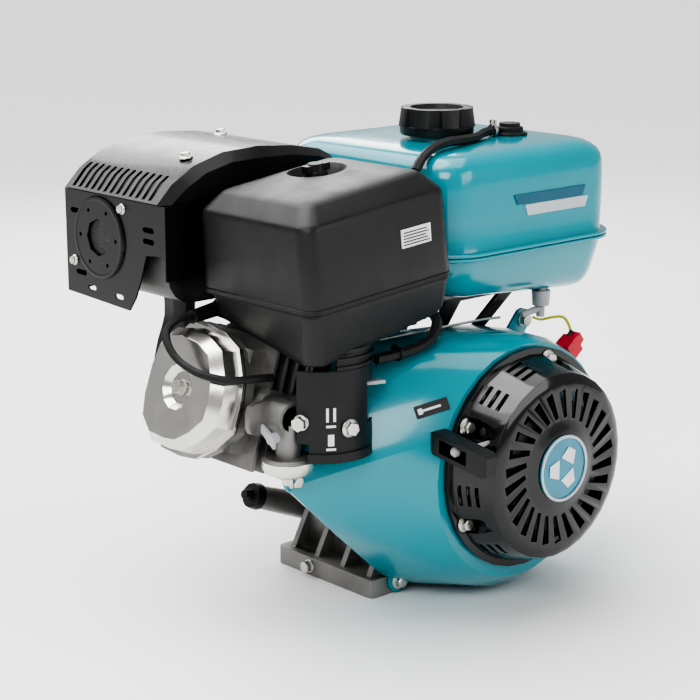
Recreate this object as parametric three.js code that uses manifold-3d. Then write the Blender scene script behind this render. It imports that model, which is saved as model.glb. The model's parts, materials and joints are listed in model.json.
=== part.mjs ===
import * as THREE from 'three';
import { mergeVertices } from 'three/addons/utils/BufferGeometryUtils.js';
import { ConvexGeometry } from 'three/addons/geometries/ConvexGeometry.js';
import Module from 'manifold-3d';

// Small gasoline engine, in millimetres. The feet stand on z = 0 and +Z is up.
// The crankshaft runs along Y: the rope starter is at -Y and the output shaft at +Y.
// The cylinder leans out towards -X, and the fuel tank sits over +X.
// Every shape is drawn with the crankshaft's axis at x = 0. At the end all of them are moved by
// CENTRE_X and CENTRE_Y, which puts the origin under the middle of the engine.

const CENTRE_X = -55;
const CENTRE_Y = 0;
const GAP = 0.3;

const CRANK_HEIGHT = 132;
const CRANK_THROW = 32;
const SHAFT_RADIUS = 12.7;
const SHAFT_END = 211;
const JOURNAL_RADIUS = 17;
// The bearing bores have flat sides, so their corners lie further out than the journal's.
const BEARING_RADIUS = 18.2;

const CYLINDER_TILT = THREE.MathUtils.degToRad(17);
const CYLINDER_Y = 10;
const BORE_RADIUS = 44.3;
const DECK = 190;
const HEAD_TOP = 254;
const FIN_HALF = 57;

const BLOCK_FRONT = -54;
const BLOCK_BACK = 62;
const FOOT_OUTER = 111;
const FOOT_HEIGHT = 17.5;
const FOOT_HOLE_X = 97.5;
const FOOT_HOLE_Y = 47;

const SHROUD_FRONT = -142;
const SHROUD_BACK = -56.5;
const SHEET = 2;
const STARTER_FACE = -186.5;
const STARTER_RADIUS = 101;
const ROPE_Y = -171;
const ROPE_Z = 166;

const TANK_SEAM = 312;
const CAP_X = 33;
const CAP_Y = 6;

// ---------- building blocks ----------

const wasm = await Module();
wasm.setup();

function signedVolume(points, faces) {
  let total = 0;
  for (let i = 0; i < faces.length; i += 3) {
    const [a, b, c] = [faces[i] * 3, faces[i + 1] * 3, faces[i + 2] * 3];
    total += points[a] * (points[b + 1] * points[c + 2] - points[b + 2] * points[c + 1])
      - points[a + 1] * (points[b] * points[c + 2] - points[b + 2] * points[c])
      + points[a + 2] * (points[b] * points[c + 1] - points[b + 1] * points[c]);
  }
  return total;
}

// Welds a closed geometry into a solid that can be added to and cut, with its faces turned out.
function toSolid(geometry) {
  const bare = new THREE.BufferGeometry();
  bare.setAttribute('position', geometry.getAttribute('position'));
  bare.setIndex(geometry.getIndex());
  const welded = mergeVertices(bare, 1e-3);
  const points = welded.getAttribute('position').array;
  const index = welded.getIndex().array;
  const faces = [];
  for (let i = 0; i < index.length; i += 3) {
    const [a, b, c] = [index[i], index[i + 1], index[i + 2]];
    if (a !== b && b !== c && c !== a) faces.push(a, b, c);
  }
  if (signedVolume(points, faces) < 0) faces.reverse();
  return new wasm.Manifold(new wasm.Mesh({
    numProp: 3,
    vertProperties: Float32Array.from(points),
    triVerts: Uint32Array.from(faces),
  }));
}

function union(solids) {
  return solids.reduce((whole, part) => whole.add(part));
}

function cut(solid, tools) {
  return tools.reduce((left, tool) => left.subtract(tool), solid);
}

// The smallest convex solid round a list of [x, y, z] points.
function hull(points) {
  return toSolid(new ConvexGeometry(points.map(([x, y, z]) => new THREE.Vector3(x, y, z))));
}

function box(x0, x1, y0, y1, z0, z1) {
  const geometry = new THREE.BoxGeometry(x1 - x0, y1 - y0, z1 - z0);
  geometry.translate((x0 + x1) / 2, (y0 + y1) / 2, (z0 + z1) / 2);
  return toSolid(geometry);
}

// Turns a profile of [radius, distance] pairs about the line from a point along a direction.
function turned(from, direction, profile, sides = 20) {
  const geometry = new THREE.LatheGeometry(profile.map(([r, t]) => new THREE.Vector2(r, t)), sides);
  const up = new THREE.Vector3(0, 1, 0);
  const turn = new THREE.Quaternion().setFromUnitVectors(up, new THREE.Vector3(...direction).normalize());
  geometry.applyQuaternion(turn);
  geometry.translate(...from);
  return toSolid(geometry);
}

// A round bar from one point to another, which may taper.
function bar(from, to, radius, endRadius = radius, sides = 12) {
  const along = new THREE.Vector3(...to).sub(new THREE.Vector3(...from));
  const profile = [[0, 0], [radius, 0], [endRadius, along.length()], [0, along.length()]];
  return turned(from, along.toArray(), profile, sides);
}

// Turns a profile of [radius, y] pairs about the crankshaft's axis.
function aboutCrank(profile, sides = 28) {
  return turned([0, 0, CRANK_HEIGHT], [0, 1, 0], profile, sides);
}

function outlineShape(outline, holes) {
  const shape = new THREE.Shape(outline.map(([u, v]) => new THREE.Vector2(u, v)));
  shape.holes = holes.map((hole) => new THREE.Path(hole.map(([u, v]) => new THREE.Vector2(u, v))));
  return shape;
}

// An [x, z] outline drawn out along Y.
function prismY(outline, y0, y1, holes = []) {
  const geometry = new THREE.ExtrudeGeometry(outlineShape(outline, holes),
    { depth: y1 - y0, bevelEnabled: false });
  geometry.rotateX(Math.PI / 2);
  geometry.translate(0, y1, 0);
  return toSolid(geometry);
}

// An [x, y] outline drawn out along Z.
function prismZ(outline, z0, z1, holes = []) {
  const geometry = new THREE.ExtrudeGeometry(outlineShape(outline, holes),
    { depth: z1 - z0, bevelEnabled: false });
  geometry.translate(0, 0, z0);
  return toSolid(geometry);
}

// A [y, z] outline drawn out along X.
function prismX(outline, x0, x1, holes = []) {
  const geometry = new THREE.ExtrudeGeometry(outlineShape(outline, holes),
    { depth: x1 - x0, bevelEnabled: false });
  geometry.rotateY(Math.PI / 2);
  geometry.rotateX(Math.PI / 2);
  geometry.translate(x0, 0, 0);
  return toSolid(geometry);
}

function circle(u, v, radius, sides = 20) {
  return Array.from({ length: sides }, (_, i) => {
    const angle = (i / sides) * 2 * Math.PI;
    return [u + radius * Math.cos(angle), v + radius * Math.sin(angle)];
  });
}

// A rectangle from (u0, v0) to (u1, v1) with rounded corners.
function roundedRect(u0, u1, v0, v1, radius, steps = 4) {
  const corners = [[u1 - radius, v1 - radius, 0], [u0 + radius, v1 - radius, 1],
    [u0 + radius, v0 + radius, 2], [u1 - radius, v0 + radius, 3]];
  return corners.flatMap(([u, v, quarter]) => Array.from({ length: steps + 1 }, (_, i) => {
    const angle = (quarter + i / steps) * Math.PI / 2;
    return [u + radius * Math.cos(angle), v + radius * Math.sin(angle)];
  }));
}

// A slot with round ends, from one [u, v] point to another.
function slotOutline(from, to, radius, endRadius = radius, steps = 3) {
  const heading = Math.atan2(to[1] - from[1], to[0] - from[0]);
  const end = (centre, r, start) => Array.from({ length: steps + 1 }, (_, i) => {
    const angle = start + (i / steps) * Math.PI;
    return [centre[0] + r * Math.cos(angle), centre[1] + r * Math.sin(angle)];
  });
  return [...end(to, endRadius, heading - Math.PI / 2), ...end(from, radius, heading + Math.PI / 2)];
}

function atY(outline, y) {
  return outline.map(([x, z]) => [x, y, z]);
}

function atZ(outline, z) {
  return outline.map(([x, y]) => [x, y, z]);
}

// A tube or solid cord of round section along a smooth curve.
function tube(points, radius, sides = 6, steps = 20) {
  const curve = new THREE.CatmullRomCurve3(points.map((p) => new THREE.Vector3(...p)));
  const shape = outlineShape(circle(0, 0, radius, sides), []);
  return toSolid(new THREE.ExtrudeGeometry(shape, { steps, extrudePath: curve, bevelEnabled: false }));
}

// A hexagon bolt head with a washer face and a shank. "from" is on the surface it bears on, and
// "out" points away from that surface.
function flangeBolt(from, out, acrossFlats, head, shank, length) {
  const direction = new THREE.Vector3(...out).normalize();
  const point = (t) => new THREE.Vector3(...from).addScaledVector(direction, t).toArray();
  const flange = bar(point(GAP), point(GAP + 1.6), acrossFlats * 0.68, acrossFlats * 0.62, 14);
  const hex = bar(point(1), point(GAP + head), acrossFlats / Math.sqrt(3), acrossFlats / Math.sqrt(3), 6);
  return union([flange, hex, bar(point(-length), point(1), shank, shank, 8)]);
}

function boltHole(from, out, shank, length) {
  const direction = new THREE.Vector3(...out).normalize();
  const point = (t) => new THREE.Vector3(...from).addScaledVector(direction, t).toArray();
  return bar(point(-length - GAP), point(2), shank + GAP, shank + GAP, 8);
}

// A point of the tilted cylinder: "s" out from the crankshaft along the bore, "w" square to it.
function cylinderPoint(s, y, w) {
  const [c, n] = [Math.cos(CYLINDER_TILT), Math.sin(CYLINDER_TILT)];
  return [-s * c + w * n, y, CRANK_HEIGHT + s * n + w * c];
}

function cylinderBox(s0, s1, y0, y1, w0, w1) {
  const corners = [s0, s1].flatMap((s) => [y0, y1].flatMap((y) => [w0, w1].map((w) => [s, y, w])));
  return hull(corners.map((corner) => cylinderPoint(...corner)));
}

// A convex solid of the tilted cylinder through [outline, s] levels, each outline a list of [y, w].
function cylinderLoft(levels) {
  return hull(levels.flatMap(([outline, s]) => outline.map(([y, w]) => cylinderPoint(s, y, w))));
}

function onCylinder(s0, s1, radius, sides = 20) {
  return bar(cylinderPoint(s0, CYLINDER_Y, 0), cylinderPoint(s1, CYLINDER_Y, 0), radius, radius, sides);
}

// ---------- the drawing of each piece ----------

const BLOCK_OUTLINE = [[-84, 18], [-78, 8], [78, 8], [84, 18], [84, 145], [74, 182], [40, 204],
  [-22, 208], [-60, 198], [-84, 160]];
const CAVITY_OUTLINE = [[-76, 26], [-70, 19], [70, 19], [76, 26], [76, 142], [67, 176], [36, 196],
  [-20, 200], [-55, 190], [-76, 156]];
const COVER_OUTLINE = [[-80, 26], [-72, 19], [72, 19], [80, 26], [82, 145], [72, 180], [38, 201],
  [-20, 205], [-58, 195], [-82, 160]];

function feet() {
  return [-1, 1].map((side) => {
    const [inner, outer] = [side * 70, side * FOOT_OUTER].sort((a, b) => a - b);
    return prismZ(roundedRect(inner, outer, -62, 70.4, 5, 2), 0, FOOT_HEIGHT);
  });
}

function footHoles() {
  return [-1, 1].flatMap((side) => [
    bar([side * FOOT_HOLE_X, -FOOT_HOLE_Y, -1], [side * FOOT_HOLE_X, -FOOT_HOLE_Y, 20], 5.5, 5.5, 12),
    prismZ(slotOutline([side * FOOT_HOLE_X, FOOT_HOLE_Y - 12], [side * FOOT_HOLE_X, FOOT_HOLE_Y + 12], 5.5),
      -1, 20),
  ]);
}

function footRibs() {
  return [-1, 1].flatMap((side) => [-50, -14, 22, 56].map((y) => hull([
    [side * 82, y - 3, 60], [side * 82, y + 3, 60], [side * 82, y - 3, 16], [side * 82, y + 3, 16],
    [side * 105, y - 3, 16], [side * 105, y + 3, 16], [side * 88, y - 3, 34], [side * 88, y + 3, 34],
  ])));
}

const FIN_OUTLINE = [[CYLINDER_Y - FIN_HALF, -FIN_HALF], [CYLINDER_Y + FIN_HALF, -FIN_HALF],
  [CYLINDER_Y + FIN_HALF, FIN_HALF], [CYLINDER_Y - FIN_HALF, FIN_HALF]];

function crankcaseBlock() {
  const fins = [110, 125, 140, 155, 170, 186.6].map((s) => cylinderLoft([[FIN_OUTLINE, s],
    [FIN_OUTLINE, s + 3]]));
  const outside = union([
    prismY(BLOCK_OUTLINE, BLOCK_FRONT, BLOCK_BACK),
    onCylinder(60, DECK, 51, 12),
    ...fins,
    ...feet(),
    ...footRibs(),
  ]);
  return cut(outside, [
    prismY(CAVITY_OUTLINE, BLOCK_FRONT + 8, BLOCK_BACK + 1),
    onCylinder(30, DECK + 1, BORE_RADIUS),
    bar([0, BLOCK_FRONT - 1, CRANK_HEIGHT], [0, 0, CRANK_HEIGHT], BEARING_RADIUS),
    bar([-FOOT_OUTER - 1, 24, 9], [-90, 24, 9], 5 + GAP, 5 + GAP, 12),
    ...footHoles(),
  ]);
}

// The cover on the output side, with the shaft's boss, its four mounting pads and the oil filler.
const COVER_BACK = 97;
const PAD_FACE = 112;
const PAD_SPOTS = [[-50, 82], [50, 82], [-50, 182], [50, 182]];
const FILLER_MOUTH = [-129, 78, 68];
const FILLER_ROOT = [-66, 78, 44];

function sideCover() {
  const shrink = (k) => COVER_OUTLINE.map(([x, z]) => [x * k, CRANK_HEIGHT + (z - CRANK_HEIGHT) * k]);
  const outside = union([
    prismY(COVER_OUTLINE, BLOCK_BACK + GAP, 71),
    hull([...atY(shrink(0.95), 70), ...atY(shrink(0.8), COVER_BACK)]),
    bar([0, 90, CRANK_HEIGHT], [0, 118, CRANK_HEIGHT], 38, 34, 20),
    ...PAD_SPOTS.map(([x, z]) => bar([x, 80, z], [x, PAD_FACE, z], 13, 12, 10)),
    bar(FILLER_ROOT, FILLER_MOUTH, 13, 11, 12),
  ]);
  const inward = FILLER_MOUTH.map((value, i) => value + (FILLER_ROOT[i] - value) * 0.9);
  const outward = FILLER_MOUTH.map((value, i) => value + (value - FILLER_ROOT[i]) * 0.1);
  return cut(outside, [
    hull([...atY(shrink(0.9), BLOCK_BACK - 1), ...atY(shrink(0.72), COVER_BACK - 6)]),
    bar([0, 60, CRANK_HEIGHT], [0, 119, CRANK_HEIGHT], BEARING_RADIUS),
    bar(inward, outward, 8, 8, 10),
  ]);
}

// Six-sided outline of the rocker cover and of the flange that it seals to.
const COVER_RIM = [[20, 57], [-8, 54], [-30, 44], [-44, 18], [-47, -4], [-45, -27], [-26, -45], [-4, -58],
  [16, -60], [44, -58], [62, -42], [66, -18], [64, 16], [58, 40], [42, 54]];

function scaledRim(k, lift = 0) {
  const [cy, cw] = [11, 0];
  return COVER_RIM.map(([y, w]) => [cy + (y - cy) * k, cw + (w - cw) * k + lift]);
}

function headGasket() {
  const plate = cylinderBox(DECK + GAP, DECK + 1.5, CYLINDER_Y - 52, CYLINDER_Y + 52, -52, 52);
  return cut(plate, [onCylinder(DECK - 2, DECK + 4, BORE_RADIUS)]);
}

const HEAD_BASE = DECK + 1.8;
const PORT_S = 225.6;
const PLUG_ROOT = [-166, 38, 254];
const PLUG_TIP = [-199, 38, 268];

function cylinderHead() {
  const plugDirection = new THREE.Vector3(...PLUG_TIP).sub(new THREE.Vector3(...PLUG_ROOT)).toArray();
  const outside = union([
    cylinderBox(HEAD_BASE, 248, CYLINDER_Y - 44, CYLINDER_Y + 44, -45, 45),
    ...[HEAD_BASE, 204, 216, 228].map((s) => cylinderLoft([[FIN_OUTLINE, s], [FIN_OUTLINE, s + 3.5]])),
    cylinderLoft([[scaledRim(0.97), 244], [scaledRim(0.97), HEAD_TOP]]),
    bar(cylinderPoint(223, 38, 38), PLUG_ROOT, 11, 11, 12),
    bar(cylinderPoint(PORT_S, -30, -4), cylinderPoint(PORT_S, -53, -4), 20, 20),
    bar(cylinderPoint(PORT_S, 40, -4), cylinderPoint(PORT_S, 70, -4), 20, 20),
  ]);
  return cut(outside, [
    cylinderLoft([[scaledRim(0.78), 236], [scaledRim(0.78), HEAD_TOP + 1]]),
    bar(cylinderPoint(HEAD_BASE - 1, CYLINDER_Y, 0), cylinderPoint(200, CYLINDER_Y, 0), 42, 30, 32),
    bar(cylinderPoint(PORT_S, -20, -4), cylinderPoint(PORT_S, -54, -4), 13, 13),
    bar(cylinderPoint(PORT_S, 30, -4), cylinderPoint(PORT_S, 71, -4), 13, 13),
    bar(PLUG_ROOT.map((v, i) => v - plugDirection[i] * 0.45), PLUG_TIP, 7.2, 7.2, 12),
    bar(PLUG_ROOT, PLUG_TIP, 13, 13, 12),
  ]);
}

function valveCoverGasket() {
  return cut(cylinderLoft([[scaledRim(0.985), HEAD_TOP + GAP], [scaledRim(0.985), HEAD_TOP + 2]]),
    [cylinderLoft([[scaledRim(0.8), HEAD_TOP - 1], [scaledRim(0.8), HEAD_TOP + 3]])]);
}

const COVER_TOP = 283;
const COVER_BOLT_Y = 11;

function valveCover() {
  const base = HEAD_TOP + 2.3;
  const shell = (inset, lower, upper) => cylinderLoft([[scaledRim(0.93 - inset), lower],
    [scaledRim(0.9 - inset), upper - 9], [scaledRim(0.76 - inset), upper]]);
  const outside = union([cylinderLoft([[scaledRim(1), base], [scaledRim(1), base + 3]]),
    shell(0, base, COVER_TOP)]);
  const dish = bar(cylinderPoint(COVER_TOP - 6, COVER_BOLT_Y, 0), cylinderPoint(COVER_TOP + 1,
    COVER_BOLT_Y, 0),
    15, 21, 12);
  const dishInside = bar(cylinderPoint(COVER_TOP - 8, COVER_BOLT_Y, 0),
    cylinderPoint(COVER_TOP, COVER_BOLT_Y, 0), 17, 23, 12);
  const hole = bar(cylinderPoint(COVER_TOP - 20, COVER_BOLT_Y, 0), cylinderPoint(COVER_TOP,
    COVER_BOLT_Y, 0),
    3 + GAP, 3 + GAP, 8);
  const inside = shell(0.035, base - 1, COVER_TOP - 2).subtract(dishInside);
  return cut(outside, [inside, dish, hole]);
}

function valveCoverBolt() {
  const seat = cylinderPoint(COVER_TOP - 6, COVER_BOLT_Y, 0);
  const ahead = cylinderPoint(COVER_TOP, COVER_BOLT_Y, 0);
  return flangeBolt(seat, ahead.map((value, i) => value - seat[i]), 11, 7.5, 3, 12);
}

function sparkPlug() {
  const along = (t) => PLUG_ROOT.map((v, i) => v + (PLUG_TIP[i] - v) * t);
  return union([
    bar(along(-0.4), along(0.2), 6.5, 6.5),
    bar(along(0.05), along(0.33), 11.5, 11.5, 6),
    bar(along(0.3), along(1), 5.5, 4.5, 16),
  ]);
}

const BOOT_END = [-240, 29, 268];

function sparkPlugCap() {
  const along = (t) => PLUG_ROOT.map((v, i) => v + (PLUG_TIP[i] - v) * t);
  const outside = union([
    bar(along(0.5), along(1.2), 9, 8),
    bar(along(1.1), BOOT_END, 7, 6),
  ]);
  return cut(outside, [bar(along(0.4), along(1.08), 6.5, 5.5)]);
}

const LEAD_ROUTE = [[-240.8, 28.8, 268], [-256, 28, 268], [-269, 26, 262], [-276, 17, 254], [-277, 4, 243],
  [-275, -12, 236], [-273, -32, 233], [-260, -47, 229.5], [-238, -52, 228], [-218, -53, 226]];

function ignitionLead() {
  return tube(LEAD_ROUTE, 3.6, 6, 22);
}

// ---------- rotating parts ----------

const WEB_RADIUS = 50;
const FLYWHEEL_FRONT = -112;

function crankshaft() {
  const pin = cylinderPoint(CRANK_THROW, 0, 0);
  const round = (y0, y1, r0, r1 = r0, sides = 12) => bar([0, y0, CRANK_HEIGHT], [0, y1, CRANK_HEIGHT],
    r0, r1,
    sides);
  const shaft = union([
    round(-133, -111, 8, 8, 16),
    round(-113, -80, 11.5, 14),
    round(-80.5, -20, JOURNAL_RADIUS - 2.5),
    round(-66, 118, JOURNAL_RADIUS),
    round(117, SHAFT_END, SHAFT_RADIUS, SHAFT_RADIUS, 24),
    round(-19, -5, WEB_RADIUS, WEB_RADIUS, 18),
    round(25, 39, WEB_RADIUS, WEB_RADIUS, 18),
    round(42, 51, 21.5),
    bar([pin[0], -6, pin[2]], [pin[0], 26, pin[2]], JOURNAL_RADIUS),
  ]);
  const keyway = box(-3.2, 3.2, 148, SHAFT_END + 1, CRANK_HEIGHT + SHAFT_RADIUS - 3.6,
    CRANK_HEIGHT + SHAFT_RADIUS + 2);
  return cut(shaft, [keyway, bar([0, 180, CRANK_HEIGHT], [0, SHAFT_END + 1, CRANK_HEIGHT], 4, 4, 12)]);
}

const CAM_X = 32;
const CAM_Z = 75;

function camshaft() {
  const round = (y0, y1, r, sides = 12) => bar([CAM_X, y0, CAM_Z], [CAM_X, y1, CAM_Z], r, r, sides);
  const lobe = (y0, y1, dx, dz) => hull([...atY(circle(CAM_X, CAM_Z, 10, 12), y0),
    ...atY(circle(CAM_X, CAM_Z, 10, 12), y1), ...atY(circle(CAM_X + dx, CAM_Z + dz, 6, 8), y0),
    ...atY(circle(CAM_X + dx, CAM_Z + dz, 6, 8), y1)]);
  return union([round(-44, 58, 7.5), round(42, 51, 43.5, 28), lobe(-2, 7, 7, -3), lobe(13, 22, -2, -7)]);
}

function piston() {
  const body = onCylinder(129, DECK - 2, BORE_RADIUS - GAP);
  return cut(body, [onCylinder(128, DECK - 12, BORE_RADIUS - 6, 24)]);
}

function flywheel() {
  return aboutCrank([[15.2, -84], [15.2, -100], [13, FLYWHEEL_FRONT], [30, FLYWHEEL_FRONT], [34, -104],
    [68, -102], [74, -110], [86, -110], [86, -84], [74, -80], [70, -92], [30, -92], [26, -80], [15.2, -80],
    [15.2, -84]], 22);
}

const FAN_BLADES = 10;

function coolingFan() {
  const ring = aboutCrank([[41, -113.5], [41, -116], [84, -114.5], [84, -110.5], [76, -110.5], [74, -112],
    [41, -113.5]], 20);
  const blade = (i) => {
    const angle = (i / FAN_BLADES) * 2 * Math.PI;
    const at = (r, turn, y) => [r * Math.cos(angle + turn), y, CRANK_HEIGHT + r * Math.sin(angle + turn)];
    return hull([at(50, 0, -114), at(50, 0.05, -114), at(82, 0.22, -114), at(82, 0.25, -114),
      at(54, 0.02, -135), at(54, 0.06, -135), at(82, 0.22, -135), at(82, 0.25, -135)]);
  };
  return union([ring, ...Array.from({ length: FAN_BLADES }, (_, i) => blade(i))]);
}

function starterCup() {
  return aboutCrank([[12.2, -112.5], [12.2, -114.5], [33, -114.5], [33, -152], [36, -152], [36, -112.5],
    [12.2, -112.5]], 24);
}

function flywheelNut() {
  const nut = bar([0, -127, CRANK_HEIGHT], [0, -115, CRANK_HEIGHT], 15, 15, 6);
  return cut(nut, [bar([0, -130, CRANK_HEIGHT], [0, -110, CRANK_HEIGHT], 8 + GAP, 8 + GAP, 16)]);
}

function ignitionCoil() {
  const at = (r, degrees) => {
    const angle = THREE.MathUtils.degToRad(degrees);
    return [r * Math.cos(angle), CRANK_HEIGHT + r * Math.sin(angle)];
  };
  const leg = (degrees) => {
    const [a, b] = [at(89, degrees - 5), at(89, degrees + 5)];
    const [c, d] = [at(104, degrees + 5), at(104, degrees - 5)];
    return prismY([a, b, c, d], -106, -88);
  };
  const yoke = prismY([at(102, 96), at(102, 128), at(106, 128), at(106, 96)], -106, -88);
  const coil = prismY([at(98, 102), at(98, 122), at(109, 122), at(109, 102)], -109, -85);
  return union([leg(99), leg(125), yoke, coil]);
}

// ---------- fan housing and rope starter ----------

// The outer line of the fan housing where it meets the crankcase, as [x, z].
const SHROUD_OUTLINE = [[-206, 124], [-150, 70], [-93, 17], [-80, 9], [0, 9], [40, 14], [88, 42], [114, 80],
  [120, 132], [114, 172], [98, 203], [72, 224], [22, 235], [-30, 242], [-90, 246], [-148, 240]];
const SHROUD_RINGS = [[118, 123, -104], [117, 123.5, -126], [108, 128, SHROUD_FRONT]];
const SHROUD_LUGS = [[85, SHROUD_BACK, 231], [-200, SHROUD_BACK, 132], [-81, -62.4, 12]];

function shroudShape(inset) {
  const [cx, cz] = [-30, 130];
  const shrink = SHROUD_OUTLINE.map(([x, z]) => {
    const length = Math.hypot(x - cx, z - cz);
    const k = (length - inset) / length;
    return [cx + (x - cx) * k, cz + (z - cz) * k];
  });
  return hull([
    ...atY(shrink, SHROUD_BACK + inset),
    ...atY(shrink, SHROUD_BACK - 4),
    ...SHROUD_RINGS.flatMap(([radius, z, y]) => atY(circle(0, z, radius - inset, 32), y + inset)),
  ]);
}

function blowerHousing() {
  const lugs = SHROUD_LUGS.map(([x, y, z]) => hull([0, -3].flatMap((depth) => [
    ...atY(circle(x, z, 11, 12), y + depth),
    ...atY(circle(x * 0.86, CRANK_HEIGHT + (z - CRANK_HEIGHT) * 0.86, 11, 12), y + depth)])));
  return cut(union([shroudShape(0), ...lugs]), [
    shroudShape(SHEET),
    bar([0, SHROUD_FRONT - 5, CRANK_HEIGHT], [0, -120, CRANK_HEIGHT], 90, 90, 32),
    box(-112, -69, -62.4, -50, 0, 19),
    ...SHROUD_LUGS.map(([x, y, z]) => boltHole([x, y - 3, z], [0, -1, 0], 3, 5)),
  ]);
}

function crankAngle(degrees, radius, y) {
  const angle = THREE.MathUtils.degToRad(degrees);
  return [radius * Math.cos(angle), y, CRANK_HEIGHT + radius * Math.sin(angle)];
}

const STARTER_BOLTS = [75, 151, 209, 330];
const FACE_SLOTS = 26;
const SIDE_SLOT_GROUPS = [106, 131, 189, 231, 290];

function recoilCover() {
  const outer = aboutCrank([[0, STARTER_FACE - 2.7], [36, STARTER_FACE - 2.7], [42, STARTER_FACE],
    [77, STARTER_FACE], [84, STARTER_FACE + 4], [95, -147.5], [STARTER_RADIUS, -147],
    [STARTER_RADIUS, SHROUD_FRONT - GAP], [0, SHROUD_FRONT - GAP]], 30);
  const inner = aboutCrank([[0, STARTER_FACE + 2.5], [75, STARTER_FACE + 2.5], [81, STARTER_FACE + 6],
    [92.5, -147], [92.5, -141], [0, -141]], 30);
  const pocket = (degrees, radius) => bar(crankAngle(degrees, 95, -190), crankAngle(degrees, 91, -147),
    radius, radius, 8);
  const pocketInside = (degrees) => bar(crankAngle(degrees, 95, -192), crankAngle(degrees, 91, -144.5), 12,
    12, 8);
  const face = Array.from({ length: FACE_SLOTS }, (_, i) => {
    const degrees = (i / FACE_SLOTS) * 360;
    const [a, b] = [crankAngle(degrees, 45, 0), crankAngle(degrees + 7, 70, 0)];
    return prismY(slotOutline([a[0], a[2]], [b[0], b[2]], 2.2, 4.2, 1), STARTER_FACE - 2,
      STARTER_FACE + 3.5);
  });
  const side = SIDE_SLOT_GROUPS.flatMap((degrees) => [-153, -161, -169].map((y) => {
    const [a, b] = [degrees - 6, degrees + 6];
    return hull([a, b].flatMap((angle) => [76, 102].flatMap((r) => [y - 1.7, y + 1.7].map(
      (level) => crankAngle(angle, r, level)))));
  }));
  const post = bar([0, STARTER_FACE - 1, CRANK_HEIGHT], [0, -158, CRANK_HEIGHT], 8, 8);
  const hollow = cut(inner, STARTER_BOLTS.map(pocketInside));
  const shell = cut(outer, [...STARTER_BOLTS.map((degrees) => pocket(degrees, 9.5)), hollow,
    ...face, ...side,
    bar([-60, ROPE_Y, ROPE_Z], [-110, ROPE_Y, ROPE_Z], 4.5, 4.5, 12),
    ...STARTER_BOLTS.map((degrees) => boltHole(crankAngle(degrees, 91, -147), [0, -1, 0], 3, 8))]);
  return union([shell, post]);
}

function recoilBadge() {
  const back = STARTER_FACE - 3;
  return aboutCrank([[0, back], [30, back], [30, back - 1.2], [0, back - 2]], 32);
}

function recoilReel() {
  return aboutCrank([[8.3, -161], [8.3, -180], [60, -180], [60, -176.5], [30, -174.5], [30, -167.5],
    [60, -165], [60, -161], [8.3, -161]], 24);
}

// The rope leaves the reel at a tangent and runs out to the handle, along -X.
const HANDLE_X = -112;

function starterRope() {
  return bar([-8, ROPE_Y, ROPE_Z], [HANDLE_X + 1, ROPE_Y, ROPE_Z], 2.4, 2.4, 8);
}

function starterHandle() {
  const slope = Math.tan(THREE.MathUtils.degToRad(8));
  const corners = (half, y, x0, x1) => [[x0, -half], [x1, -half], [x1, half], [x0, half]].map(
    ([x, z]) => [x, y, ROPE_Z + z + (y - ROPE_Y) * slope]);
  const grip = hull([...corners(8, ROPE_Y - 38, HANDLE_X - 6, HANDLE_X + 6),
    ...corners(10, ROPE_Y - 34, HANDLE_X - 8, HANDLE_X + 8),
    ...corners(10, ROPE_Y + 24, HANDLE_X - 8, HANDLE_X + 8),
    ...corners(8, ROPE_Y + 28, HANDLE_X - 6, HANDLE_X + 6)]);
  const pocket = hull([...corners(6, ROPE_Y - 16, HANDLE_X - 12, HANDLE_X + 2.5),
    ...corners(6, ROPE_Y + 16, HANDLE_X - 12, HANDLE_X + 2.5)]);
  return cut(grip, [pocket, bar([HANDLE_X, ROPE_Y, ROPE_Z], [HANDLE_X + 12, ROPE_Y, ROPE_Z], 2.8, 2.8,
    12)]);
}

function ropeKnot() {
  return toSolid(new THREE.SphereGeometry(4.6, 10, 7).translate(HANDLE_X - 4, ROPE_Y, ROPE_Z));
}

// ---------- fuel tank ----------

const TANK = { x0: -58, x1: 168, y0: -101, y1: 131, corner: 38 };

function tankOutline(inset, corner = TANK.corner) {
  return roundedRect(TANK.x0 + inset, TANK.x1 - inset, TANK.y0 + inset, TANK.y1 - inset,
    Math.max(corner - inset, 4), 4);
}

function tankTop(inset) {
  return hull([
    ...atZ(tankOutline(inset), TANK_SEAM - 1),
    ...atZ(tankOutline(inset + 2), 380),
    ...atZ(tankOutline(inset + 8), 393 - inset),
    ...atZ(tankOutline(inset + 18, 40), 401 - inset),
  ]);
}

const NECK_RADIUS = 27;
const NECK_TOP = 412;

function fuelTankUpper() {
  const rim = prismZ(tankOutline(-7), TANK_SEAM, TANK_SEAM + 3);
  const outside = union([cut(tankTop(0), [box(-100, 200, -150, 180, 300, TANK_SEAM)]), rim,
    bar([CAP_X, CAP_Y, 390], [CAP_X, CAP_Y, NECK_TOP], NECK_RADIUS, NECK_RADIUS, 24)]);
  return cut(outside, [
    tankTop(SHEET),
    bar([CAP_X, CAP_Y, 380], [CAP_X, CAP_Y, NECK_TOP + 1], NECK_RADIUS - 3, NECK_RADIUS - 3, 24),
    bar([BREATHER_X, BREATHER_Y, 380], [BREATHER_X, BREATHER_Y, 402], 5 + GAP, 5 + GAP, 16),
  ]);
}

function tankBottom(inset) {
  const raised = tankOutline(inset + 16).filter(([x]) => x < 20);
  const flat = tankOutline(inset + 14).filter(([x]) => x > -10);
  return hull([
    ...atZ(tankOutline(inset), TANK_SEAM),
    ...atZ(tankOutline(inset + 3), TANK_SEAM - 22),
    ...atZ(raised, 281 + inset),
    ...atZ(flat, 262 + inset),
  ]);
}

const OUTLET = [92, -76];

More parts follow.
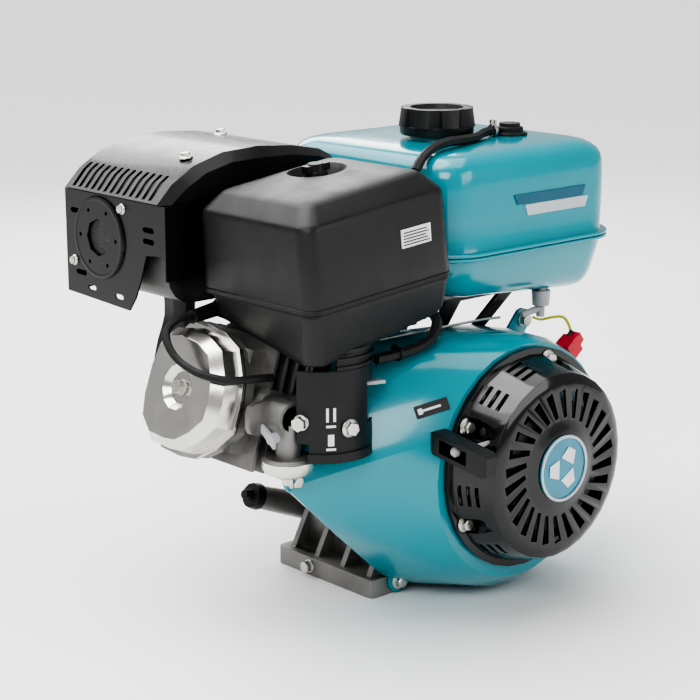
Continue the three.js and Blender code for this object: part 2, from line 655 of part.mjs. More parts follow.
function fuelTankLower() {
  const rim = prismZ(tankOutline(-7), TANK_SEAM - 3.3, TANK_SEAM - GAP);
  const top = box(-100, 200, -150, 180, TANK_SEAM - GAP, TANK_SEAM + 20);
  return cut(union([cut(tankBottom(0), [top]), rim]), [
    tankBottom(SHEET),
    bar([OUTLET[0], OUTLET[1], 250], [OUTLET[0], OUTLET[1], 280], 5 + GAP, 5 + GAP, 16),
  ]);
}

const CAP_BASE = 406;

function fuelCap() {
  const skirt = turned([CAP_X, CAP_Y, CAP_BASE], [0, 0, 1], [[0, 0], [34, 0], [34.5, 1.5], [34.5, 8],
    [32, 9],
    [0, 9]], 24);
  const knob = cut(bar([CAP_X, CAP_Y, CAP_BASE + 8], [CAP_X, CAP_Y, 431], 36.5, 34, 24),
    Array.from({ length: 8 }, (_, i) => {
      const angle = (i / 8) * 2 * Math.PI;
      const [x, y] = [CAP_X + 41 * Math.cos(angle), CAP_Y + 41 * Math.sin(angle)];
      return bar([x, y, CAP_BASE], [x, y, 440], 9, 10, 6);
    }));
  const dish = turned([CAP_X, CAP_Y, 427], [0, 0, 1], [[0, 0], [24, 0], [26, 5], [0, 5]], 16);
  return cut(union([skirt, knob]), [
    bar([CAP_X, CAP_Y, CAP_BASE - 1], [CAP_X, CAP_Y, CAP_BASE + 14], NECK_RADIUS + 1, NECK_RADIUS + 1, 24),
    dish]);
}

function fuelStrainer() {
  const from = [CAP_X, CAP_Y, 340];
  return turned(from, [0, 0, 1], [[0, 0], [18, 0], [23, 72.3], [26, 72.3], [26, 73.8], [21.5, 73.8],
    [16.5, 1.5], [0, 1.5]], 24);
}

const BREATHER_X = 102;
const BREATHER_Y = -22;

function tankBreather() {
  const nozzle = bar([BREATHER_X, BREATHER_Y, 407.5], [BREATHER_X - 26, BREATHER_Y + 1.4, 407.5], 2.6,
    2.6, 8);
  const body = turned([BREATHER_X, BREATHER_Y, 392], [0, 0, 1], [[0, 0], [5, 0], [5, 9], [17, 9], [17, 12],
    [13, 13], [13, 17], [10, 18], [10, 21], [0, 21]], 16);
  return union([body, nozzle]);
}

const HOSE_ROUTE = [[BREATHER_X - 18.5, BREATHER_Y + 1, 407.5], [78, -22, 407.5], [62, -26, 407], [40,
  -38, 406],
  [12, -48, 407], [-16, -56, 408], [-42, -63, 405], [-58, -67, 398], [-68, -70, 389]];

function breatherHose() {
  const hose = tube(HOSE_ROUTE, 4.4, 6, 20);
  return cut(hose, [bar([BREATHER_X, BREATHER_Y, 407.5], [BREATHER_X - 27, BREATHER_Y + 1.5, 407.5], 3,
    3, 8)]);
}

function hoseClip() {
  const [x, y, z] = [BREATHER_X - 22, BREATHER_Y + 0.6, 407.5];
  const ring = turned([x, y, z], [1, 0, 0], [[5.1, -1.5], [6.2, -1.5], [6.2, 1.5], [5.1, 1.5], [5.1,
    -1.5]], 12);
  return union([ring, box(x - 1.2, x + 1.2, y - 3.5, y - 1.5, z + 5.4, z + 10),
    box(x - 1.2, x + 1.2, y + 1.5, y + 3.5, z + 5.4, z + 10)]);
}

function fuelOutlet() {
  const [x, y] = OUTLET;
  return union([
    turned([x, y, 236], [0, 0, 1], [[0, 0], [4, 0], [4, 10], [8, 11], [9, 25.5], [5, 25.5], [5, 30],
      [0, 30]], 16),
    bar([x, y, 244], [x - 22, y + 4, 240], 3.5, 3, 10),
  ]);
}

function tankBracket() {
  const plate = prismZ(roundedRect(-8, 120, -46, 70, 10, 2), 257, 260.5,
    [roundedRect(10, 100, -28, 52, 10, 2).reverse()]);
  const leg = (x, y, footX, footY) => hull([[x - 10, y - 2, 258], [x + 10, y - 2, 258], [x - 10, y + 2,
    258],
    [x + 10, y + 2, 258], [footX - 9, footY - 2, 208.6], [footX + 9, footY - 2, 208.6],
    [footX - 9, footY + 2, 208.6], [footX + 9, footY + 2, 208.6]]);
  const pad = (x, y) => prismZ(roundedRect(x - 12, x + 12, y - 10, y + 10, 3, 1), 208.4, 211);
  return union([plate, leg(78, -44, 22, -38), leg(6, -44, -24, -38), leg(78, 66, 22, 46), leg(6, 66,
    -24, 46),
    pad(22, -34), pad(-24, -34), pad(22, 42), pad(-24, 42)]);
}

// ---------- muffler ----------

// Arched cross-section of the muffler guard as [x, z].
const GUARD_ARCH = [[-262, 366], [-246, 382], [-222, 396], [-190, 405], [-150, 407], [-110, 404], [-78,
  398],
  [-62, 390], [-60, 366]];
const GUARD_FRONT = 37;
const GUARD_BACK = 188;

function archInset(inset, floor) {
  const [cx, cz] = [-160, 340];
  return GUARD_ARCH.map(([x, z]) => {
    const length = Math.hypot(x - cx, z - cz);
    const k = (length - inset) / length;
    return [cx + (x - cx) * k, Math.max(cz + (z - cz) * k, floor)];
  });
}

function mufflerGuardTop() {
  const outside = hull([...atY(GUARD_ARCH, GUARD_FRONT + 9), ...atY(GUARD_ARCH, GUARD_BACK - 3),
    ...atY(archInset(3, 366), GUARD_BACK), ...atY(archInset(9, 366), GUARD_FRONT)]);
  const inside = hull([...atY(archInset(1.8, 365), GUARD_FRONT + 10), ...atY(archInset(1.8, 365),
    GUARD_BACK - 4),
    ...atY(archInset(10.5, 365), GUARD_FRONT + 1.8), ...atY(archInset(4.6, 365), GUARD_BACK - 1.8),
    ...atY(archInset(4.6, 365).map(([x]) => [x, 360]), 100)]);
  const slots = Array.from({ length: 13 }, (_, i) => {
    const y = 58 + i * 9.6;
    return hull([[-266, y - 2, 366], [-266, y + 2, 366], [-252, y - 2, 388], [-252, y + 2, 388],
      [-228, y + 4, 386], [-228, y + 8, 386], [-240, y + 4, 374], [-240, y + 8, 374]]);
  });
  return cut(outside, [inside, ...slots]);
}

// The guard's outer panel, facing -X, with its stepped lower corner, and the wall that it turns into.
const PANEL_X = -260;
const PANEL_OUTLINE = [[188, 270], [93, 266], [83, 279], [74, 298], [66, 319], [48, 321], [39, 323],
  [39, 365],
  [188, 365]];
const OUTLET_SPOT = [135, 326];

function mufflerGuardPanel() {
  const sheet = prismX(PANEL_OUTLINE, PANEL_X, PANEL_X + 1.6);
  const front = box(PANEL_X, -196, 37.4, 39, 300, 365);
  const back = box(PANEL_X, -76, 187, 188.6, 270, 365);
  const boss = bar([PANEL_X - 2.4, ...OUTLET_SPOT], [PANEL_X + 1, ...OUTLET_SPOT], 33, 35, 32);
  const spot = (y, z, r) => bar([PANEL_X - 5, y, z], [PANEL_X + 5, y, z], r, r, 8);
  const ring = [0, 1, 2, 3, 4, 5].map((i) => spot(OUTLET_SPOT[0] + 27 * Math.cos(i * Math.PI / 3),
    OUTLET_SPOT[1] + 27 * Math.sin(i * Math.PI / 3), 2));
  const slot = (y, z, half) => prismX(slotOutline([y - half, z], [y + half, z], 2.4), PANEL_X - 5,
    PANEL_X + 5);
  return cut(union([sheet, front, back, boss]), [
    spot(...OUTLET_SPOT, 17), ...ring,
    slot(172, 346, 6), slot(166, 290, 6), slot(150, 278, 4), slot(108, 276, 4), slot(62, 342, 6),
      slot(62, 332, 6),
  ]);
}

function mufflerBody() {
  const corner = 26;
  const outline = roundedRect(-252, -80, 276, 384, corner, 4);
  const shell = union([prismY(outline, 46, 178),
    bar([-240, ...OUTLET_SPOT], [-257.6, ...OUTLET_SPOT], 19, 19, 24)]);
  const hollow = prismY(roundedRect(-249, -83, 279, 381, corner - 3, 4), 49, 175);
  return cut(shell, [hollow, bar([-230, ...OUTLET_SPOT], [-259, ...OUTLET_SPOT], 17, 17, 24),
    bar([-200, 100, 260], [-200, 100, 290], 14, 14)]);
}

function sparkArrester() {
  return turned([-258, ...OUTLET_SPOT], [1, 0, 0], [[0, 0], [8, -1.5], [15.6, -1.5], [15.6, 6], [12.6, 6],
    [12.6, 1.5], [6, 1.5], [0, 3]], 16);
}

function exhaustPipe() {
  const port = cylinderPoint(PORT_S, 71.3, -4);
  const route = [port, [port[0], 88, port[2] + 4], [port[0] + 4, 99, port[2] + 20], [-200, 100, 250],
    [-200, 100, 275.5]];
  const flange = hull([...atY(slotOutline([port[0] - 26, port[2] + 8], [port[0] + 26, port[2] - 8], 12,
    12), 70.3),
    ...atY(slotOutline([port[0] - 26, port[2] + 8], [port[0] + 26, port[2] - 8], 12, 12), 76)]);
  return cut(union([tube(route, 15, 8, 8), flange]), [tube([[port[0], 60, port[2]], ...route,
    [-200, 100, 280]], 11.5, 8, 12), box(-300, 0, 0, 70.3, 0, 400)]);
}

// ---------- air cleaner ----------

// The air cleaner leans a little: its right end is higher. Distances u, v and h are measured from its
// lower front left corner, along its width, its depth and its height.
const CLEANER_CORNER = [-231, -120, 290];
const CLEANER_LEAN = THREE.MathUtils.degToRad(5);

function cleanerPoint(u, v, h) {
  const [c, n] = [Math.cos(CLEANER_LEAN), Math.sin(CLEANER_LEAN)];
  return [CLEANER_CORNER[0] + u * c - h * n, CLEANER_CORNER[1] + v, CLEANER_CORNER[2] + u * n + h * c];
}

function cleanerLoft(levels) {
  return hull(levels.flatMap(([outline, height]) => outline.map(([u, v]) => cleanerPoint(u, v,
    height(u)))));
}

const CLEANER_W = 166;
const CLEANER_D = 150;
const TRAY_D = 142;
const KNOB_SPOT = [101, 101];

function cleanerShape(inset, base) {
  const side = (d, r) => roundedRect(d, CLEANER_W - d, d, CLEANER_D - d, r, 3);
  return cleanerLoft([
    [side(inset, 14), () => base],
    [side(inset + 2, 14), (u) => 72 + u * 0.04 - inset],
    [side(inset + 15, 8), (u) => 86 + u * 0.05 - inset],
  ]);
}

function airCleanerCover() {
  const dish = bar(cleanerPoint(...KNOB_SPOT, 83), cleanerPoint(...KNOB_SPOT, 100), 20, 24);
  const dishInside = bar(cleanerPoint(...KNOB_SPOT, 80), cleanerPoint(...KNOB_SPOT, 100), 22, 26);
  const hole = bar(cleanerPoint(...KNOB_SPOT, 70), cleanerPoint(...KNOB_SPOT, 100), 3.6, 3.6, 12);
  return cut(cleanerShape(0, GAP), [cut(cleanerShape(2.5, -1), [dishInside]), dish, hole]);
}

function airCleanerKnob() {
  const wing = hull([...[-13, 13].flatMap((u) => [-4, 4].flatMap((v) => [92, 98].map(
    (h) => cleanerPoint(KNOB_SPOT[0] + u, KNOB_SPOT[1] + v, h))))]);
  return union([bar(cleanerPoint(...KNOB_SPOT, 83.4), cleanerPoint(...KNOB_SPOT, 92), 11, 10),
    bar(cleanerPoint(...KNOB_SPOT, 91), cleanerPoint(...KNOB_SPOT, 99), 8, 7), wing,
    bar(cleanerPoint(...KNOB_SPOT, 70), cleanerPoint(...KNOB_SPOT, 84), 3, 3, 12)]);
}

const CLEANER_FLOOR = -20;

function airCleanerBase() {
  const side = (d) => roundedRect(d, CLEANER_W - d, d, TRAY_D - d, 12, 3);
  const tray = cleanerLoft([[side(1), () => 0], [side(3), () => CLEANER_FLOOR]]);
  const snorkel = hull([...[2, 28].flatMap((u) => [5, 74].map((v) => cleanerPoint(u, v, -19))),
    ...[3, 21].flatMap((u) => [8, 56].map((v) => cleanerPoint(u, v, -46)))]);
  const hollow = cleanerLoft([[side(4), () => 1], [side(5.5), () => CLEANER_FLOOR + 3]]);
  const throat = bar([COLUMN_X, COLUMN_Y, 250], [COLUMN_X, COLUMN_Y, 300], 17);
  return cut(union([tray, snorkel, bar([COLUMN_X, COLUMN_Y, 265], [COLUMN_X, COLUMN_Y, 284], 20, 20,
    20)]), [hollow, throat]);
}

function airFilterElement() {
  const oval = roundedRect(24, 141, 22, 112, 40, 5);
  const hole = roundedRect(40, 125, 38, 96, 24, 4);
  return cut(cleanerLoft([[oval, () => -12], [oval, () => 62]]),
    [cleanerLoft([[hole, () => -13], [hole, () => 63]])]);
}

// ---------- carburettor and its cover ----------

const CARB_X = cylinderPoint(PORT_S, 0, -4)[0];
const CARB_Z = cylinderPoint(PORT_S, 0, -4)[2];
const BOWL_Y = -71.5;
const BOWL_BOTTOM = 143;
const BOWL_TOP = 158;

function carburetor() {
  const flange = roundedRect(CARB_X - 32, CARB_X + 32, CARB_Z - 14, CARB_Z + 14, 8, 2);
  const body = union([
    bar([CARB_X, -53.3, CARB_Z], [CARB_X, -78, CARB_Z], 16, 15),
    prismY(flange, -59, -53.3),
    bar([CARB_X, BOWL_Y, CARB_Z - 4], [CARB_X, BOWL_Y, BOWL_TOP + 0.5], 11, 11),
    bar([CARB_X, BOWL_Y, BOWL_TOP + 3], [CARB_X, BOWL_Y, BOWL_TOP + GAP], 20, 23, 18),
  ]);
  return cut(body, [bar([CARB_X, -50, CARB_Z], [CARB_X, -80, CARB_Z], 11.5, 11.5)]);
}

function floatBowl() {
  const height = BOWL_TOP - BOWL_BOTTOM;
  const bowl = turned([CARB_X, BOWL_Y, BOWL_BOTTOM], [0, 0, 1], [[0, 0], [12, 0], [20, 4], [23, 9],
    [23, height],
    [21, height], [21, 10], [19, 6], [11, 2], [0, 2]], 18);
  return cut(bowl, [bar([CARB_X, BOWL_Y, 130], [CARB_X, BOWL_Y, 150], 3 + GAP, 3 + GAP, 8)]);
}

function bowlBolt() {
  return flangeBolt([CARB_X, BOWL_Y, BOWL_BOTTOM], [0, 0, -1], 10, 7, 3, 6);
}

// The cover in front of the carburettor is part of a round column that rises to the air cleaner.
const COLUMN_X = -178;
const COLUMN_Y = -70;
const COLUMN_RADIUS = 43.5;
const COLUMN_START = 200;
const COLUMN_END = 314;
const CONTROL_NUTS = [[206, 194], [262, 188]];

function columnPoint(degrees, radius, z) {
  const angle = THREE.MathUtils.degToRad(degrees);
  return [COLUMN_X + radius * Math.cos(angle), COLUMN_Y + radius * Math.sin(angle), z];
}

function columnArc(start, end, radius, steps = 10) {
  return Array.from({ length: steps + 1 }, (_, i) => columnPoint(start + ((end - start) * i) / steps,
    radius, 0));
}

function columnWall(start, end, inner, outer, z0, z1) {
  return prismZ([...columnArc(start, end, outer), ...columnArc(start, end, inner).reverse()], z0, z1);
}

function controlCover() {
  const wall = columnWall(COLUMN_START, COLUMN_END, COLUMN_RADIUS - 2.5, COLUMN_RADIUS, 160, 238);
  const duct = columnWall(246, COLUMN_END, COLUMN_RADIUS - 3, COLUMN_RADIUS - 0.5, 236, 264);
  const ribs = [239, 246, 253, 260].map((z) => columnWall(246, COLUMN_END, COLUMN_RADIUS - 2,
    COLUMN_RADIUS + 1.5, z, z + 3));
  const lip = prismZ(columnArc(COLUMN_START, COLUMN_END - 14, COLUMN_RADIUS + 2), 159, 167);
  const windowAt = (degrees, radius, z) => columnPoint(degrees, radius, z);
  const window = hull([292, 322].flatMap((degrees) => [36, 50].flatMap((radius) => [188, 224].map(
    (z) => windowAt(degrees, radius, z)))));
  return cut(union([wall, duct, ...ribs, lip]), [
    window,
    bar([CARB_X, BOWL_Y, 150], [CARB_X, BOWL_Y, 175], 24, 24, 12),
    ...CONTROL_NUTS.map(([degrees, z]) => bar(columnPoint(degrees, 30, z), columnPoint(degrees, 50, z),
      3.4, 3.4, 8)),
  ]);
}

function controlNut([degrees, z]) {
  const out = columnPoint(degrees, 1, 0).map((value, i) => value - [COLUMN_X, COLUMN_Y, 0][i]);
  return flangeBolt(columnPoint(degrees, COLUMN_RADIUS, z), out, 11, 8, 3, 6);
}

const CHOKE_PIVOT = [-166, -94, 219];

function chokeLever() {
  const [x, y, z] = CHOKE_PIVOT;
  const tip = columnPoint(COLUMN_END + 6, COLUMN_RADIUS + 9, z);
  return union([bar([x, y, z - 12], [x, y, z + 3], 5, 5, 10),
    hull([[x, y - 4, z - 1.5], [x, y + 4, z - 1.5], [x, y - 4, z + 1.5], [x, y + 4, z + 1.5],
      [tip[0], tip[1] - 4, z - 1.5], [tip[0], tip[1] + 4, z - 1.5], [tip[0], tip[1] - 4, z + 1.5],
      [tip[0], tip[1] + 4, z + 1.5]])]);
}

const FUEL_PIVOT = [-241, -76, 181];

function fuelValveLever() {
  const [x, y, z] = FUEL_PIVOT;
  const arm = [[-6, -5], [-6, 5], [14, 3.5], [14, -3.5]];
  return union([bar([x, y, z], [x + 7.5, y, z], 5, 5, 10),
    hull([0, 3].flatMap((depth) => arm.map(([v, h]) => [x + depth, y + v * 0.8, z + h + v * 0.5])))]);
}

// ---------- speed control on top of the fan housing ----------

const BRACKET_TOP = 262;
const THROTTLE_PIVOT = [-96, -78, BRACKET_TOP + GAP];

function controlBracket() {
  return union([
    prismZ(roundedRect(-116, -84, -94, -44, 4, 1), BRACKET_TOP - 3, BRACKET_TOP),
    box(-116, -84, -50, -47, 211, BRACKET_TOP),
    box(-84.1, -40, -50, -47, 211, 222),
    prismZ(roundedRect(-66, -40, -50, -32, 3, 1), 208.4, 211.1),
  ]);
}

function throttleLever() {
  const [x, y, z] = THROTTLE_PIVOT;
  return union([bar([x, y, z], [x, y, z + 5], 6, 6, 12),
    hull([0, 2].flatMap((h) => [[x - 5, y - 3, z + h], [x - 5, y + 5, z + h], [x + 5, y + 5, z + h],
      [x + 22, y - 12, z + h], [x + 18, y - 17, z + h]]))]);
}

function governorRod() {
  return tube([[-133, -86, 250], [-90, -86, 249.5], [-30, -85, 248.5], [20, -83, 246.5], [31, -81,
    245]], 1.3, 5, 8);
}

function wiringSleeve() {
  return tube([[-142, -100, 238], [-120, -102, 239], [-100, -104, 241], [-80, -104, 247], [-66, -97, 258],
    [-58, -80, 264], [-54, -60, 265], [-52, -38, 265]], 5, 6, 14);
}

// The stop switch sits on the fan housing's upper right shoulder.
const SWITCH_ANGLE = 36;
const SWITCH_Y = -101;

function switchBlock(half, r0, r1, wide, taper) {
  return hull([r0, r1].flatMap((radius, i) => [-1, 1].flatMap((side) => [-1, 1].map((end) => crankAngle(
    SWITCH_ANGLE + side * (half - i * taper), radius, SWITCH_Y + end * (wide - i))))));
}

function stopSwitch() {
  return switchBlock(4, 122, 138, 9, 0.5);
}

function switchRocker() {
  return switchBlock(2.2, 138.4, 146, 6, 0.4);
}

function groundWire() {
  return tube([[96, -63, 232], [104, -66, 229], [112, -72, 231], [118, -82, 232], [117, -90, 226],
    crankAngle(SWITCH_ANGLE + 3.2, 141.5, -99)], 1.4, 6, 14);
}

function oilDipstick() {
  const out = new THREE.Vector3(...FILLER_MOUTH).sub(new THREE.Vector3(...FILLER_ROOT)).normalize();
  const at = (t) => new THREE.Vector3(...FILLER_MOUTH).addScaledVector(out, t).toArray();
  return union([bar(at(GAP), at(9), 13, 12, 12), bar(at(-14), at(1), 7.6, 7.6, 12), bar(at(-50),
    at(-10), 2, 2, 6),
    bar(at(8), at(18), 6, 4.5, 8)]);
}

function drainPlug() {
  return flangeBolt([-FOOT_OUTER, 24, 9], [-1, 0, 0], 10, 7, 5, 14);
}

function shroudBolt([x, y, z]) {
  return flangeBolt([x, y - 3, z], [0, -1, 0], 10, 7, 3, 5);
}

// ---------- assembly ----------

function finish(color, roughness, metalness) {
  return new THREE.MeshStandardMaterial({ color, roughness, metalness });
}

const FINISHES = {
  castAlloy: finish(0x8d8f92, 0.55, 0.8),
  steel: finish(0xb8babd, 0.35, 1),
  pressedSteel: finish(0xc9ccd0, 0.22, 1),
  darkSteel: finish(0x5a5c60, 0.5, 0.9),
  teal: finish(0x0aa0b4, 0.2, 0.1),
  blackGloss: finish(0x0c0c0d, 0.15, 0),
  blackPaint: finish(0x141415, 0.5, 0.2),
  blackPlastic: finish(0x18181a, 0.6, 0),
  rubber: finish(0x1b1b1c, 0.8, 0),
  greyPlastic: finish(0x8a8c90, 0.5, 0),
  redPlastic: finish(0xd81f3c, 0.4, 0),
  foam: finish(0x2a2a2c, 0.95, 0),
  wire: finish(0xa9b832, 0.5, 0),
  rope: finish(0xe8e8e4, 0.9, 0),
  badge: finish(0x1f8ea3, 0.3, 0),
};

const PIECES = [
  ['crankcase_block', crankcaseBlock(), 'castAlloy'],
  ['side_cover', sideCover(), 'castAlloy'],
  ['head_gasket', headGasket(), 'darkSteel'],
  ['cylinder_head', cylinderHead(), 'castAlloy'],
  ['valve_cover_gasket', valveCoverGasket(), 'rubber'],
  ['valve_cover', valveCover(), 'pressedSteel'],
  ['valve_cover_bolt', valveCoverBolt(), 'steel'],
  ['spark_plug', sparkPlug(), 'steel'],
  ['spark_plug_cap', sparkPlugCap(), 'rubber'],
  ['ignition_lead', ignitionLead(), 'rubber'],
  ['ignition_coil', ignitionCoil(), 'darkSteel'],
  ['crankshaft', crankshaft(), 'steel'],
  ['camshaft', camshaft(), 'darkSteel'],
  ['piston', piston(), 'castAlloy'],
  ['flywheel', flywheel(), 'castAlloy'],
  ['cooling_fan', coolingFan(), 'blackPlastic'],
  ['starter_cup', starterCup(), 'darkSteel'],
  ['flywheel_nut', flywheelNut(), 'steel'],
  ['blower_housing', blowerHousing(), 'teal'],
  ['recoil_cover', recoilCover(), 'blackGloss'],
  ['recoil_badge', recoilBadge(), 'badge'],
  ['recoil_reel', recoilReel(), 'blackPlastic'],
  ['starter_rope', starterRope(), 'rope'],
  ['starter_handle', starterHandle(), 'blackPlastic'],
  ['rope_knot', ropeKnot(), 'rope'],
  ['fuel_tank_upper', fuelTankUpper(), 'teal'],
  ['fuel_tank_lower', fuelTankLower(), 'teal'],
  ['fuel_cap', fuelCap(), 'blackPlastic'],
  ['fuel_strainer', fuelStrainer(), 'greyPlastic'],
  ['tank_breather_valve', tankBreather(), 'rubber'],
  ['breather_hose', breatherHose(), 'rubber'],
  ['hose_clip', hoseClip(), 'steel'],
  ['fuel_outlet', fuelOutlet(), 'greyPlastic'],
  ['tank_bracket', tankBracket(), 'blackPaint'],
  ['muffler_body', mufflerBody(), 'darkSteel'],
  ['muffler_guard_top', mufflerGuardTop(), 'blackPaint'],
  ['muffler_guard_panel', mufflerGuardPanel(), 'blackPaint'],
  ['spark_arrester', sparkArrester(), 'darkSteel'],
  ['exhaust_pipe', exhaustPipe(), 'darkSteel'],
  ['air_cleaner_cover', airCleanerCover(), 'blackPlastic'],
  ['air_cleaner_knob', airCleanerKnob(), 'blackPlastic'],
  ['air_cleaner_base', airCleanerBase(), 'blackPlastic'],
  ['air_filter_element', airFilterElement(), 'foam'],
  ['carburetor', carburetor(), 'castAlloy'],
  ['float_bowl', floatBowl(), 'pressedSteel'],
  ['bowl_bolt', bowlBolt(), 'steel'],
  ['control_cover', controlCover(), 'blackPlastic'],
  ['control_nut_left', controlNut(CONTROL_NUTS[0]), 'steel'],
  ['choke_lever', chokeLever(), 'greyPlastic'],
  ['fuel_valve_lever', fuelValveLever(), 'greyPlastic'],
  ['throttle_lever', throttleLever(), 'darkSteel'],
  ['control_bracket', controlBracket(), 'blackPaint'],
  ['governor_rod', governorRod(), 'steel'],
  ['wiring_sleeve', wiringSleeve(), 'rubber'],
  ['stop_switch', stopSwitch(), 'redPlastic'],
  ['stop_switch_rocker', switchRocker(), 'redPlastic'],
  ['ground_wire', groundWire(), 'wire'],
  ['oil_dipstick', oilDipstick(), 'blackPlastic'],
  ['oil_drain_plug', drainPlug(), 'steel'],
  ['shroud_bolt_top', shroudBolt(SHROUD_LUGS[0]), 'steel'],
];

const engine = new THREE.Group();
engine.name = 'small_gasoline_engine';
for (const [name, solid, finishName] of PIECES) {
  const { vertProperties, triVerts } = solid.getMesh();
  const geometry = new THREE.BufferGeometry();
  geometry.setAttribute('position', new THREE.BufferAttribute(Float32Array.from(vertProperties), 3));
  geometry.setIndex(Array.from(triVerts));
  geometry.translate(-CENTRE_X, -CENTRE_Y, 0);
  geometry.computeVertexNormals();
  const mesh = new THREE.Mesh(geometry, FINISHES[finishName]);
  mesh.name = name;
  engine.add(mesh);
}

export default engine;
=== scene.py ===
import json
import math

import bmesh
import bpy
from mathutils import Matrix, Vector


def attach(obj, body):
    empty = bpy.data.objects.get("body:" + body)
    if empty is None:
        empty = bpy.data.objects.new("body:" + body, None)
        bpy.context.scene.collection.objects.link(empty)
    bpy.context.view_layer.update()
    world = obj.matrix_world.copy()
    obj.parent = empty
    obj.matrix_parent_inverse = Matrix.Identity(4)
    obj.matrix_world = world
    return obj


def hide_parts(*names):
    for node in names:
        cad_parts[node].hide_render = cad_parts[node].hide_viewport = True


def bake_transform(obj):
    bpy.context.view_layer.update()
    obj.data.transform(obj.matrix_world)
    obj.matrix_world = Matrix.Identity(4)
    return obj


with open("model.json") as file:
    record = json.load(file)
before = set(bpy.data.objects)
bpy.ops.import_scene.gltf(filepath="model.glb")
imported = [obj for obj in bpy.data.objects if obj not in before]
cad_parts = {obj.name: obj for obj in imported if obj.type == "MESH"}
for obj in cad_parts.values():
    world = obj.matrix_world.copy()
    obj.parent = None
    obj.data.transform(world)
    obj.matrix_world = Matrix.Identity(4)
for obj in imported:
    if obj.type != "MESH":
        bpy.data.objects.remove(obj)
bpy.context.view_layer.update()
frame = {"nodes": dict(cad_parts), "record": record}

# Drawing measures are in millimetres: X and Y from the middle of the crankshaft, Z from the floor.
# In the frame the crankshaft's axis lies at SHIFT_X along X.
SHIFT_X = 55
CRANK_HEIGHT = 132
BODY = "engine_body"
STARTER_BOLTS = (75, 151, 209, 330)
STARTER_BOLT_RADIUS = 91
STARTER_FACE = -186.5
BADGE_STAND_OFF = 5.2
CLEANER_CORNER = (-231, -120, 290)
CLEANER_LEAN = math.radians(5)
CLEANER_WIDTH = 166
CLEANER_DEPTH = 150
TRAY_DEPTH = 142
CLEANER_FRONT = 1.4
KNOB_SPOT = (101, 101)
TANK = (-58, 168, -101, 131)
TANK_SEAM = 312
TANK_TOP = 401.8
TANK_LEAN_START = 60
TANK_LEAN_SPAN = 118
FILLER = (33, 6)
NECK_BORE = 23.5
COLUMN = (-178, -70)
COLUMN_RADIUS = 43.4
PANEL_X = -260
SIDE_COVER_BOLTS = ((-66, 60), (-66, 110), (-66, 160), (-38, 196), (0, 200), (38, 196), (66, 160),
                    (66, 110), (66, 60), (30, 32), (-30, 32))
PAD_FACE = 112
PADS = ((-50, 82), (50, 82), (-50, 182), (50, 182))
ROPE_Y = -171
ROPE_Z = 166
ROPE_ENDS = (-22, -117)
ROPE_RADIUS = 2.1
OUTLET_SPOT = (135, 326)
WIRE_END_ANGLE = 39.2
WIRE_END_RADIUS = 141.5
WIRE_END_Y = -99
TOWARDS_STARTER = (0, -1, 0)
TOWARDS_SHAFT = (0, 1, 0)

SMOOTH_ANGLE = 32
EDGE_ROUNDING = 0.0007

# The view, from drawing point CAMERA_SPOT. FLOOR_HALF is in metres.
CAMERA_SPOT = (-1193, -1230, 628)
CAMERA_AZIMUTH = math.radians(42.1)
CAMERA_ELEVATION = math.radians(13.9)
CAMERA_LENS = 95.9
CAMERA_SENSOR = 36
FLOOR_HALF = 30


def place(x, y, z):
    """A drawing point in millimetres as a frame point in metres."""
    return Vector(((x + SHIFT_X) / 1000, y / 1000, z / 1000))


def around_crank(degrees, radius, y):
    """A point round the crankshaft's axis, counted from +X towards +Z."""
    angle = math.radians(degrees)
    return (radius * math.cos(angle), y, CRANK_HEIGHT + radius * math.sin(angle))


def cleaner_point(u, v, h):
    """A point on the leaning air cleaner: u to the right, v to the back, h upwards."""
    c, s = math.cos(CLEANER_LEAN), math.sin(CLEANER_LEAN)
    x, y, z = CLEANER_CORNER
    return (x + u * c - h * s, y + v, z + u * s + h * c)


def around_column(degrees, radius, z):
    """A point round the upright axis of the cover of the controls."""
    angle = math.radians(degrees)
    return (COLUMN[0] + radius * math.cos(angle), COLUMN[1] + radius * math.sin(angle), z)


# ---------- materials ----------


def blank_material(name):
    """A material with only a Principled shader and its output."""
    material = bpy.data.materials.new(name)
    material.use_nodes = True
    tree = material.node_tree
    tree.nodes.clear()
    shader = tree.nodes.new("ShaderNodeBsdfPrincipled")
    output = tree.nodes.new("ShaderNodeOutputMaterial")
    tree.links.new(shader.outputs["BSDF"], output.inputs["Surface"])
    return material, tree, shader


def noise(tree, scale, detail=4.0):
    """Noise in the object's own space, in cycles per metre."""
    where = tree.nodes.new("ShaderNodeTexCoord")
    made = tree.nodes.new("ShaderNodeTexNoise")
    made.inputs["Scale"].default_value = scale
    made.inputs["Detail"].default_value = detail
    tree.links.new(where.outputs["Object"], made.inputs["Vector"])
    return made


def spread(tree, source, low, high):
    """Maps the middle of a noise value's range onto low to high."""
    made = tree.nodes.new("ShaderNodeMapRange")
    made.inputs["From Min"].default_value = 0.3
    made.inputs["From Max"].default_value = 0.7
    made.inputs["To Min"].default_value = low
    made.inputs["To Max"].default_value = high
    tree.links.new(source, made.inputs["Value"])
    return made.outputs["Result"]


